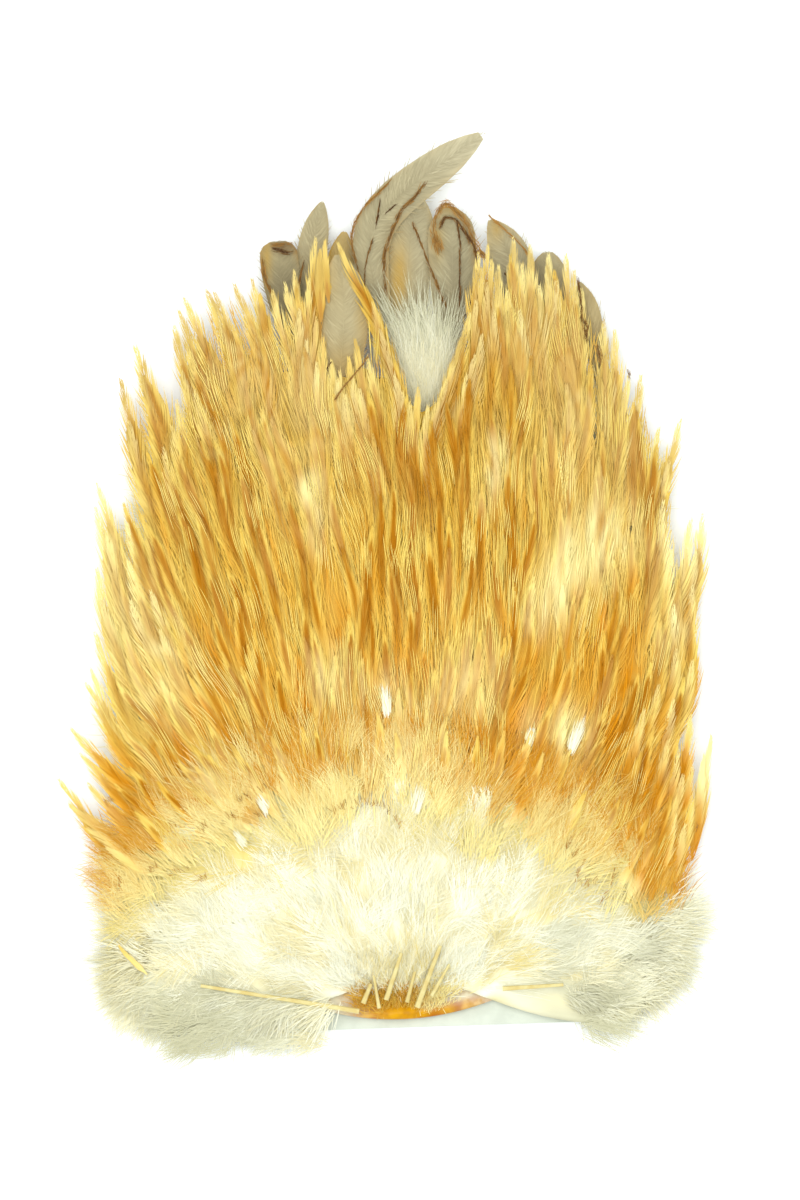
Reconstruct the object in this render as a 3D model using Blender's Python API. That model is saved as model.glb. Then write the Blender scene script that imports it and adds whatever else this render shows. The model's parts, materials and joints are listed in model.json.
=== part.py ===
"""Rooster saddle hackle: a dried patch of saddle skin on a card, feather side up.

+Y runs from the cut edge of the skin to the tail, +X is to the right as one looks down
on the feathers, and z = 0 is the back of the card. The origin is the middle of the
outline, on that face. Lengths below are in millimetres.
"""

import math
import random

import bmesh
import bpy
import numpy as np

MM = 0.001

# Driving dimensions
CARD_WIDTH, CARD_LENGTH, CARD_THICK = 80.0, 131.0, 0.8
CARD_CENTRE = (6.0, -23.0)
CARD_TURN = 1.9
SKIN_THICK = 1.2
CLEAR = 0.35
SKIN_BOTTOM = CARD_THICK + CLEAR
SKIN_TOP = SKIN_BOTTOM + SKIN_THICK
DOWN_BOTTOM = SKIN_TOP + CLEAR
RIM_BOTTOM = 1.15
TAIL_ROOM = 9.7
TAIL_ROOM_BOX = ((-28, 48), (31, 95))

# The plumage: its middle in X, and its half width and height of crown along Y
MIDDLE_X = 2.0
WIDTH_AT = ((-90, 46), (-78, 55), (-60, 58), (-30, 61), (0, 59), (25, 56), (45, 48), (60, 38))
CROWN_AT = ((-90, 4), (-84, 4.6), (-76, 8), (-66, 13), (-50, 19), (-35, 20.5), (-10, 20),
            (20, 17.5), (45, 15), (62, 13))
SIDE_HEIGHT = 7.0

# The arch where the saddle feathers end and the down shows
ARCH_Y, ARCH_DROP = -40.0, 19.0
HACKLE_THICK = 5.5

# Loose tips on the outline: x, y, lean from +Y to the right in degrees
LEFT_TIPS = (
    (-65.7, -38.1, -42), (-63.5, -27.7, -41), (-60.3, -18.7, -35), (-58.4, -8.5, -20),
    (-57.9, 4.3, -10), (-58.4, 16.8, -17), (-57.0, 23.5, -15), (-53.1, 42.4, -10),
    (-50.2, 49.1, -15), (-42.4, 52.9, -12), (-40.5, 58.3, -27), (-36.1, 60.3, -26),
    (-30.3, 61.2, -25), (-25.0, 62.5, -18),
)
RIGHT_TIPS = (
    (64.6, -29.3, 15), (61.6, -14.0, 12), (61.0, 2.0, 10), (63.1, 15.0, 12), (58.6, 19.5, 11),
    (59.0, 34.0, 12), (53.5, 30.0, 10), (51.0, 41.0, 6), (45.0, 52.0, 2), (40.0, 56.0, 0),
    (36.0, 66.8, -2), (29.5, 60.0, -3), (-13.7, 70.5, -5), (-8.5, 66.0, 2), (-1.0, 55.5, -6),
)
ROW_TIPS = (-31.0, -17.0, -3.0, 11.0, 25.0, 39.0)
ROW_COUNT = 7
HACKLE_LENGTH, HACKLE_HALF = 32.0, 4.9

# Tufts round the rim of the down: x, y of the end, and the way it points
DOWN_TUFTS = (
    (-58.5, -57.0, -75), (-57.0, -65.5, -85), (-57.5, -74.0, -95), (-55.5, -81.5, -105),
    (-49.0, -88.0, -125), (-40.0, -91.0, -140), (-31.0, -92.3, -150), (-22.0, -90.3, -160),
    (40.0, -90.0, 160), (47.0, -89.0, 145), (53.5, -84.0, 125), (58.5, -77.5, 105),
    (62.5, -70.0, 92), (65.7, -62.0, 86),
)

# Down lumps on top of the bare part: x of the end, how far it is short of the arch, and the
# way it points
DOWN_LUMPS = (
    (-47.0, 9.0, -58), (-36.0, 12.0, -38), (-24.0, 11.0, -20), (-11.0, 12.0, -7),
    (3.0, 10.0, 3), (17.0, 12.0, 16), (31.0, 12.0, 32), (44.0, 14.0, 50),
)

# Tail coverts: level in the stack, half width, share of the length where it is widest,
# and the line of the shaft from the root to the tip
COVERTS = (
    (2, 4.5, 0.55, ((3, 36), (2.7, 47.5), (-1.5, 57), (-1.5, 68), (3, 77.5), (10, 85), (20.6, 91.8))),
    (2, 4.9, 0.72, ((12, 36), (12.5, 50), (13.5, 60), (13.5, 70), (12.5, 77))),
    (1, 3.2, 0.72, ((9, 37), (8, 50), (7, 62), (7.5, 72), (9, 78.5))),
    (1, 3.9, 0.78, ((-16, 37), (-18, 47), (-20, 57), (-21, 64), (-21.5, 70))),
    (0, 3.0, 0.62, ((-11, 38), (-13.5, 52), (-15, 63), (-14, 71), (-12.4, 78))),
    (4, 4.4, 0.50, ((-9.5, 37.5), (-7.5, 45), (-6, 54), (-6.5, 62), (-8.3, 70))),
    (1, 4.4, 0.60, ((30, 38), (28, 50), (27, 60), (24.5, 68), (20.9, 74.3))),
    (0, 3.8, 0.75, ((34, 37), (33.5, 48), (33, 58), (32.8, 68))),
    (1, 2.4, 0.60, ((44, 38), (42.5, 47), (41, 55), (39, 61.7))),
    (1, 2.9, 0.70, ((-6.5, 37), (-8, 50), (-9, 62), (-8, 72))),
)
COVERT_THICK = 0.8
COVERT_LOW = 3.45
COVERT_STEP = 1.35
CALAMUS_HALF = 0.6

# Bare quills: root x, y, tip x, y, diameter
QUILLS = (
    (-5.1, -85.1, -36.9, -79.9, 1.1), (-4.3, -83.5, -2.7, -79.5, 1.1),
    (-1.1, -84.5, -2.2, -77.8, 0.8), (0.3, -82.8, 3.4, -73.2, 1.1),
    (4.5, -83.3, 6.1, -77.0, 0.9), (6.5, -84.3, 11.2, -71.7, 1.2),
    (9.4, -82.0, 13.0, -75.5, 0.8), (23.7, -80.5, 35.9, -79.7, 1.0),
)
QUILL_GAP = 1.3

GOLD, CREAM, WHITE = (0.79, 0.48, 0.12), (0.88, 0.83, 0.62), (0.92, 0.91, 0.85)
AMBER, STRAW, BEIGE = (0.70, 0.40, 0.03), (0.85, 0.74, 0.42), (0.62, 0.56, 0.44)


def clear_scene():
    for item in list(bpy.data.objects):
        bpy.data.objects.remove(item)


def material(name, colour, roughness):
    made = bpy.data.materials.new(name)
    made.use_nodes = True
    shader = made.node_tree.nodes["Principled BSDF"]
    shader.inputs["Base Color"].default_value = (*colour, 1.0)
    shader.inputs["Roughness"].default_value = roughness
    shader.inputs["Metallic"].default_value = 0.0
    return made


def solid(name, points, faces, finish):
    """A closed mesh object from points in millimetres, with its faces turned outwards."""
    mesh = bpy.data.meshes.new(name)
    mesh.from_pydata([tuple(v * MM for v in p) for p in points], [], faces)
    shell = bmesh.new()
    shell.from_mesh(mesh)
    bmesh.ops.recalc_face_normals(shell, faces=shell.faces)
    shell.to_mesh(mesh)
    shell.free()
    mesh.materials.append(finish)
    made = bpy.data.objects.new(name, mesh)
    bpy.context.scene.collection.objects.link(made)
    return made


def along(table, y):
    """The value of a (y, value) table at y, on straight lines between its rows."""
    return float(np.interp(y, [row[0] for row in table], [row[1] for row in table]))


def pile(x, y):
    """Height of the plumage's upper surface: a crown that falls to the sides."""
    share = min(abs(x - MIDDLE_X) / along(WIDTH_AT, y), 1.06)
    return SIDE_HEIGHT + (along(CROWN_AT, y) - SIDE_HEIGHT) * (1 - share**2.6)


def arch(x):
    """Y of the line where the saddle feathers end and the down shows."""
    return ARCH_Y - ARCH_DROP * (x / 52.0) ** 2


def ramp(value, start, end):
    """A share that goes from 0 at start to 1 at end on a straight line."""
    return min(max((value - start) / (end - start), 0.0), 1.0)


def skin_half(y):
    """Half width of the skin, which narrows towards the tail."""
    return along(((-86, 24), (-78, 33), (-60, 37), (0, 36), (30, 33), (40, 26)), y)


def skin_edge(x):
    """Y of the cut edge: lowest at the amber lump and rising to both sides."""
    return -86.9 + 0.0095 * (x - 1.5) ** 2


def down_bottom(x, _):
    """The underside of the down: on the skin in the middle, near the floor at the rim."""
    share = ramp(abs(x - 4), 38, 52)
    return DOWN_BOTTOM - share * (DOWN_BOTTOM - RIM_BOTTOM)


def down_top(x, y):
    """Height of the down: level with the pile below the arch, under the feathers above it."""
    share = ramp(y - arch(x), 0, 12)
    height = pile(x, y) - 1.4 - share * (HACKLE_THICK - 1.4)
    return max(height, down_bottom(x, y) + 1.2)


def hackle_room(x, y):
    """Where the feathers may begin: over the down, and above the coverts near the tail."""
    over_down = down_top(x, y) + CLEAR
    lift = ramp(y, 22, 30) * ramp(abs(x - 9), 50, 40)
    return over_down + lift * max(TAIL_ROOM - over_down, 0.0)


def lean(x, y):
    """The way that the feathers point, in degrees from +Y to the right."""
    gain = 0.27 + 0.55 * min(max((10 - y) / 60, 0.0), 1.0) ** 2
    return x * gain * (1.0 if x < 0 else 0.65)


def way(degrees):
    """Unit vector in plan at an angle from +Y to the right."""
    return np.array((math.sin(math.radians(degrees)), math.cos(math.radians(degrees))))


def lance(name, tip, degrees, length, half, thick, height, finish):
    """A pointed lock with a diamond section: its tip, then four-point rings back to the root.

    height(x, y, share) gives the middle's height, where share runs from the tip to the root.
    """
    forward = way(degrees)
    side = np.array((forward[1], -forward[0]))
    points = [(*tip, height(*tip, 0.0))]
    shares, widths = (0.2, 0.52, 1.0), (0.5, 1.0, 0.38)
    for share, width in zip(shares, widths):
        x, y = np.array(tip) - forward * length * share
        z = height(x, y, share)
        reach = side * half * width
        rise = thick / 2 * (0.35 + 0.65 * width)
        points += [
            (x - reach[0], y - reach[1], z - 0.3 * rise),
            (x, y, z + rise),
            (x + reach[0], y + reach[1], z - 0.3 * rise),
            (x, y, z - rise),
        ]
    faces = [(0, 1 + (k + 1) % 4, 1 + k) for k in range(4)]
    for ring in range(len(shares) - 1):
        base = 1 + 4 * ring
        for k in range(4):
            near, far = base + k, base + (k + 1) % 4
            faces.append((near, far, far + 4, near + 4))
    last = 1 + 4 * (len(shares) - 1)
    faces.append((last, last + 1, last + 2, last + 3))
    return solid(name, points, faces, finish)


def sheet(name, plan, columns, top, bottom, finish):
    """A closed sheet whose plan points run row by row, between the surfaces top and bottom."""
    rows = len(plan) // columns
    points = [(x, y, top(x, y)) for x, y in plan] + [(x, y, bottom(x, y)) for x, y in plan]
    under = len(plan)
    faces = []
    for r in range(rows - 1):
        for c in range(columns - 1):
            a = r * columns + c
            b = a + columns
            faces.append((a, a + 1, b + 1, b))
            faces.append((under + a, under + b, under + b + 1, under + a + 1))
    rim = [c for c in range(columns)]
    rim += [r * columns + columns - 1 for r in range(1, rows)]
    rim += [(rows - 1) * columns + c for c in range(columns - 2, -1, -1)]
    rim += [r * columns for r in range(rows - 2, 0, -1)]
    for a, b in zip(rim, rim[1:] + rim[:1]):
        faces.append((a, b, under + b, under + a))
    return solid(name, points, faces, finish)


def hide(tool):
    """Marks a helper, which is cut with or joined and isn't a piece of its own."""
    tool.hide_render = True
    tool.display_type = "WIRE"


def join(body, pieces):
    """Joins the helper pieces to the body with one Boolean union."""
    group = bpy.data.collections.new(body.name + "_locks")
    bpy.context.scene.collection.children.link(group)
    for piece in pieces:
        bpy.context.scene.collection.objects.unlink(piece)
        group.objects.link(piece)
        hide(piece)
    union = body.modifiers.new("Join locks", "BOOLEAN")
    union.operation, union.operand_type, union.collection = "UNION", "COLLECTION", group
    union.solver = "EXACT"


def cut(body, tool):
    """Cuts the body with a helper."""
    hide(tool)
    trim = body.modifiers.new("Trim", "BOOLEAN")
    trim.operation, trim.object, trim.solver = "DIFFERENCE", tool, "EXACT"


def plan_of(rows, columns, shape):
    """Plan points of a sheet: shape(row, u) gives (x, y), where u runs from -1 to 1."""
    return [shape(row, u) for row in rows for u in np.linspace(-1, 1, columns)]


def make_card(finish):
    """The white card: a plate with its corners rounded, turned a little."""
    half_w, half_l, corner = CARD_WIDTH / 2, CARD_LENGTH / 2, 2.0
    turn = math.radians(CARD_TURN)
    outline = []
    for sx, sy, start in ((1, 1, 0), (-1, 1, 90), (-1, -1, 180), (1, -1, 270)):
        for step in range(4):
            a = math.radians(start + 30 * step)
            x = sx * (half_w - corner) + corner * math.cos(a)
            y = sy * (half_l - corner) + corner * math.sin(a)
            outline.append((
                CARD_CENTRE[0] + x * math.cos(turn) - y * math.sin(turn),
                CARD_CENTRE[1] + x * math.sin(turn) + y * math.cos(turn),
            ))
    count = len(outline)
    points = [(x, y, 0.0) for x, y in outline] + [(x, y, CARD_THICK) for x, y in outline]
    faces = [tuple(range(count)), tuple(range(2 * count - 1, count - 1, -1))]
    faces += [(k, (k + 1) % count, count + (k + 1) % count, count + k) for k in range(count)]
    return solid("backing_card", points, faces, finish)


def make_skin(finish):
    """The skin: a thin sheet, thickened to a lump along the middle of its cut edge."""

    def shape(row, u):
        x = 4 + skin_half(-86 + 126 * row) * u
        return x, skin_edge(x) + (40 - skin_edge(x)) * row

    def top(x, y):
        edge = math.exp(-((y - skin_edge(x)) / 2.0) ** 2)
        lump = 1.9 * math.exp(-((x - 2.5) / 6.0) ** 2) + 0.5 * math.exp(-((x - 13) / 7.0) ** 2)
        return SKIN_TOP + edge * lump

    plan = plan_of((0.0, 0.012, 0.026, 0.045, 0.15, 0.6, 0.9, 1.0), 13, shape)
    return sheet("dried_skin", plan, 13, top, lambda x, y: SKIN_BOTTOM, finish)


def down_plan():
    """Plan of the down: the full width of the plumage at the bottom, a little less above."""

    def shape(row, u):
        y = -87 + 115 * row
        x = MIDDLE_X + along(WIDTH_AT, y) * (0.95 - 0.1 * row) * u
        notch = 9.5 * max(0.0, 1 - 3.2 * row) * math.exp(-((x - 5) / 21.0) ** 2)
        return x, y + notch

    return plan_of(np.linspace(0, 1, 12), 12, shape)


def make_down(finish):
    """The down: a cushion with tufts round its rim and lumps on its bare part."""
    body = sheet("down", down_plan(), 12, down_top, down_bottom, finish)

    def rim_height(x, y, share):
        return max(0.4 * down_top(x, y), 2.7) + 2.4 * share

    def lump_height(x, y, share):
        return max(down_top(x, y) + 0.9 - 2.2 * share, DOWN_BOTTOM + 1.8)

    tufts = [
        lance(f"rim_tuft_{n}", (x, y), a, 19.0, 5.2, 3.0, rim_height, finish)
        for n, (x, y, a) in enumerate(DOWN_TUFTS)
    ]
    tufts += [
        lance(f"lump_{n}", (x, arch(x) - gap), a, 19.0, 5.2, 3.4, lump_height, finish)
        for n, (x, gap, a) in enumerate(DOWN_LUMPS)
    ]
    join(body, tufts)
    return body


def hackle_plan():
    """Plan of the mat that carries the feathers: from the arch up to the tail."""

    def shape(row, u):
        y_middle = ARCH_Y + (52 - ARCH_Y) * row
        x = MIDDLE_X + (along(WIDTH_AT, y_middle) - 3.0) * u
        y = arch(x) + (52 - arch(x)) * row
        gap = 13.0 * row**4 * math.exp(-((x - 5) / 8.0) ** 2)
        corner = 9.0 * row**3 * abs(u) ** 6
        return x, y - gap - corner

    return plan_of(np.linspace(0, 1, 9), 11, shape)


def hackle_bottom(x, y):
    return hackle_room(x, y) + 0.3


def hackle_top(x, y):
    return max(pile(x, y) - 1.3, hackle_bottom(x, y) + 0.9)


def hackle_height(x, y, share):
    """Height of a lock: proud of the mat at its tip and buried in it at its root."""
    return max(pile(x, y), hackle_room(x, y) + 2.2) + 0.1 - 2.6 * share


def make_hackles(finish):
    """The saddle feathers: pointed locks in rows, fused to the mat that they grow from."""
    random.seed(7)
    body = sheet("saddle_hackles", hackle_plan(), 11, hackle_top, hackle_bottom, finish)
    locks = []
    for r, row_y in enumerate(ROW_TIPS):
        for c in range(ROW_COUNT):
            u = -1 + 2 * (c + 0.5 + 0.25 * (-1) ** r) / ROW_COUNT
            x = MIDDLE_X + u * (along(WIDTH_AT, row_y) - 5) + random.uniform(-1.2, 1.2)
            y = row_y + random.uniform(-3, 3) - 7 * u * u
            turn = lean(x, y) + random.uniform(-3, 3)
            half = HACKLE_HALF * random.uniform(0.9, 1.1)
            locks.append((x, y, turn, min(HACKLE_LENGTH, y - arch(x) + 9), half))
    for x, y, turn in LEFT_TIPS + RIGHT_TIPS:
        locks.append((x, y, turn, 0.9 * HACKLE_LENGTH, 0.85 * HACKLE_HALF))
    made = [
        lance(f"lock_{n}", (x, y), turn, length, half, 2.4, hackle_height, finish)
        for n, (x, y, turn, length, half) in enumerate(locks)
    ]
    join(body, made)
    cut(body, sheet("down_room", down_plan(), 12, hackle_room, lambda x, y: -5.0, finish))
    tail_plan = [(x, y) for y in TAIL_ROOM_BOX[1] for x in TAIL_ROOM_BOX[0]]
    tail_room = sheet(
        "tail_room", tail_plan, 2, lambda x, y: TAIL_ROOM, lambda x, y: -5.0, finish
    )
    cut(body, tail_room)
    return body


def smooth_line(knots, count):
    """Points on a smooth curve through the knots (Catmull-Rom)."""
    knots = np.array(knots, float)
    ends = np.vstack((2 * knots[0] - knots[1], knots, 2 * knots[-1] - knots[-2]))
    line = []
    for t in np.linspace(0, len(knots) - 1, count):
        k = min(int(t), len(knots) - 2)
        f = t - k
        a, b, c, d = ends[k : k + 4]
        line.append(0.5 * (2 * b + (c - a) * f + (2 * a - 5 * b + 4 * c - d) * f**2
                           + (3 * b - a - 3 * c + d) * f**3))
    return np.array(line)


def vane_share(s, widest):
    """Half width of a covert as a share: a narrow calamus, then a full vane, then a round tip."""
    if s < 0.12:
        return 0.0
    rise = min((s - 0.12) / (widest - 0.12), 1.0)
    fall = max((s - widest) / (1 - widest), 0.0)
    return math.sin(math.pi / 2 * rise) ** 0.8 * (1 - fall**2.2)


def make_covert(number, level, half, widest, shaft, finish):
    """One tail covert: a thin, slightly arched blade along its shaft."""
    line = smooth_line(shaft, 11)
    height = COVERT_LOW + level * COVERT_STEP
    rings = []
    for k, (x, y) in enumerate(line):
        s = k / (len(line) - 1)
        before, after = line[max(k - 1, 0)], line[min(k + 1, len(line) - 1)]
        run = (after - before) / np.linalg.norm(after - before)
        side = np.array((run[1], -run[0]))
        reach = side * (CALAMUS_HALF + (half - CALAMUS_HALF) * vane_share(s, widest))
        drop = 0.25 * min(np.linalg.norm(reach) / half, 1.0)
        rings.append([
            (x - reach[0], y - reach[1], height - drop),
            (x, y, height + 0.15),
            (x + reach[0], y + reach[1], height - drop),
        ])
    points = [p for ring in rings for p in ring]
    under = len(points)
    points += [(x, y, z - COVERT_THICK / 2) for x, y, z in points]
    points = [(x, y, z + COVERT_THICK / 2) if n < under else (x, y, z)
              for n, (x, y, z) in enumerate(points)]
    faces = []
    for k in range(len(rings) - 1):
        for c in (0, 1):
            a, b = 3 * k + c, 3 * (k + 1) + c
            faces.append((a, a + 1, b + 1, b))
            faces.append((under + a, under + b, under + b + 1, under + a + 1))
        for c in (0, 2):
            a, b = 3 * k + c, 3 * (k + 1) + c
            faces.append((a, b, under + b, under + a))
    for base in (0, 3 * (len(rings) - 1)):
        faces.append((base, base + 1, under + base + 1, under + base))
        faces.append((base + 1, base + 2, under + base + 2, under + base + 1))
    return solid(f"tail_covert_{number:02d}", points, faces, finish)


def make_tail_down(finish):
    """The white tuft over the coverts, with two points towards the skin."""

    def height(x, y, share):
        return COVERT_LOW + 3.3 * COVERT_STEP

    body = lance("tail_down", (5.5, 37.0), 188, 21.0, 3.6, 1.0, height, finish)
    point = lance("tail_point", (11.0, 39.5), 170, 18.0, 3.2, 0.9, height, finish)
    join(body, [point])
    return body


def make_quill(number, root_x, root_y, tip_x, tip_y, diameter, finish):
    """A bare quill: a tapering tube that leaves the amber edge and lies on the down."""
    root, tip = np.array((root_x, root_y)), np.array((tip_x, tip_y))
    run = (tip - root) / np.linalg.norm(tip - root)
    side = np.array((run[1], -run[0]))
    sides = 8
    points = []
    for share in (0.0, 0.15, 0.4, 0.7, 1.0):
        x, y = root + (tip - root) * share
        radius = diameter / 2 * (1 - 0.35 * share)
        z = quill_height(x, y) + radius
        for k in range(sides):
            a = 2 * math.pi * k / sides
            out = side * radius * math.cos(a)
            points.append((x + out[0], y + out[1], z + radius * math.sin(a)))
    faces = [tuple(range(sides))]
    for ring in range(4):
        base = ring * sides
        for k in range(sides):
            near, far = base + k, base + (k + 1) % sides
            faces.append((near, far, far + sides, near + sides))
    faces.append(tuple(range(4 * sides + sides - 1, 4 * sides - 1, -1)))
    return solid(f"bare_quill_{number}", points, faces, finish)


def quill_height(x, y):
    """Where a quill lies: clear of the amber edge and of the down."""
    return max(down_top(x, y) + QUILL_GAP, SKIN_TOP + 2.6)


def main():
    clear_scene()
    make_card(material("Card", WHITE, 0.7))
    make_skin(material("Dried skin", AMBER, 0.35))
    make_down(material("Down", CREAM, 0.9))
    make_hackles(material("Saddle feather", GOLD, 0.6))
    make_tail_down(material("Tail down", WHITE, 0.9))
    beige = material("Tail covert", BEIGE, 0.6)
    for number, (level, half, widest, shaft) in enumerate(COVERTS, 1):
        make_covert(number, level, half, widest, shaft, beige)
    straw = material("Quill", STRAW, 0.3)
    for number, row in enumerate(QUILLS, 1):
        make_quill(number, *row, straw)


main()
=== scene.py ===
"""Rooster saddle hackle, feather side up: barbed feathers, down, quills and skin.

Lengths are millimetres in the row frame: +Y along the feathers towards the tail, +X to the
right seen from above, z = 0 the back of the card. new_piece turns them into metres, and the
stage is in metres. Each random generator has a fixed seed, so every render is the same.
"""

import json
import math

import bpy
import numpy as np
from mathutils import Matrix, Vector

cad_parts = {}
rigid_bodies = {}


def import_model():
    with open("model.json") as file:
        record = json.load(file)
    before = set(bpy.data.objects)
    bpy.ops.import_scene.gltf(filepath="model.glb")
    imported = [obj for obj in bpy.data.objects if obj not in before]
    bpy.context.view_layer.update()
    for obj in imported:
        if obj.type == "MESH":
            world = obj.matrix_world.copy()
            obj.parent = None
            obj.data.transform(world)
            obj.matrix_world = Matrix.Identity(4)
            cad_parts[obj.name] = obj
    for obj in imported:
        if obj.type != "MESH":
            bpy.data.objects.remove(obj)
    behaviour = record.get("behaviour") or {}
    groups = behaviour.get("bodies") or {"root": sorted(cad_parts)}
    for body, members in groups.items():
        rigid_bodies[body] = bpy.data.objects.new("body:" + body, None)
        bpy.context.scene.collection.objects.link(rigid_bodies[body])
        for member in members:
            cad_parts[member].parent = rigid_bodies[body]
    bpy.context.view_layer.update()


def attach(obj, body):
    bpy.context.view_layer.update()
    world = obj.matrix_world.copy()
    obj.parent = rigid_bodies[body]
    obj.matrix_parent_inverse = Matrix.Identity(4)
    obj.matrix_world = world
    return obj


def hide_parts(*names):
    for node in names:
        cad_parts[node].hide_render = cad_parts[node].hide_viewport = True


MM = 0.001
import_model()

# The plumage, as the solids have it: middle in X, half width and crown height along Y
MIDDLE_X = 2.0
WIDTH_AT = np.array((
    (-90, 46), (-78, 55), (-60, 58), (-30, 61), (0, 59), (25, 56), (45, 48), (60, 38),
), float)
CROWN_AT = np.array((
    (-90, 4), (-84, 4.6), (-76, 8), (-66, 13), (-50, 19), (-35, 20.5), (-10, 20), (20, 17.5),
    (45, 15), (62, 13),
), float)
SIDE_HEIGHT = 7.0
ARCH_Y, ARCH_DROP, ARCH_HALF = -40.0, 19.0, 52.0
SKIN_LOW, SKIN_TOP = 1.3, 2.35
CUSHION_LOW = 2.0

# Where the fans of down start, and the middle of the gap between the tail feathers
FAN_X, FAN_Y = 4.0, -84.0
GAP_X = 8.5

# The grid in plan that holds the feathers' colour shares: low corner, step, points a side
FIELD_LOW, FIELD_STEP, FIELD_SIZE = -72.0, 0.25, 620

# How many tufts: down on the cushion, at the bare quills, round the rim and at the sides,
# golden barbs at the arch, and the white tuft at the tail
FAN_TUFTS, QUILL_TUFTS, RIM_TUFTS, SIDE_TUFTS = 620, 150, 230, 170
ARCH_TUFTS, TAIL_TUFTS = 560, 140

# Which way the feathers point: x, y, lean from +Y to the right in degrees
FLOW = np.array((
    (-38.9, 49.5, -16), (-40.9, 27.5, -18), (-52.9, 17.5, -16), (-46.9, -2.5, -20),
    (-54.9, -20.5, -33), (-54.9, -40.5, -50), (-36.9, -34.5, -30), (-26.9, 21.5, -17),
    (-22.9, -6.5, -13), (-0.9, 23.5, -6), (1.1, -6.5, -4), (1.1, -30.5, -2),
    (19.1, 37.5, -2), (23.1, 5.5, 2), (23.1, -22.5, 10), (39.1, 51.5, -3),
    (43.1, 27.5, 3), (45.1, -2.5, 6), (57.1, 21.5, 10), (59.1, -6.5, 3),
    (43.1, -34.5, 26), (55.1, -38.5, 20), (35.1, -48.5, 42), (60.0, -56.5, 12),
    (-16.9, 51.5, -10), (-46.9, -54.5, -60),
), float)
# How far off a row of FLOW counts, in mm, and how far the leans wander from it, in degrees
FLOW_REACH = 13.0
SWAY = 7.0

# Body outline between which the inner tips lie: y, left x, right x
TIP_FIELD = np.array((
    (-60, -30, 58), (-52, -44, 60), (-44, -54, 61), (-32, -57, 61), (-20, -56, 60.5),
    (0, -56, 60), (10, -55, 60.5), (18, -53, 59), (28, -48, 56), (36, -42, 54),
    (45, -40.5, 49), (52, -40, 45), (58, -36, 41), (64, -10, 36), (66, 24, 32),
), float)

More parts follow.
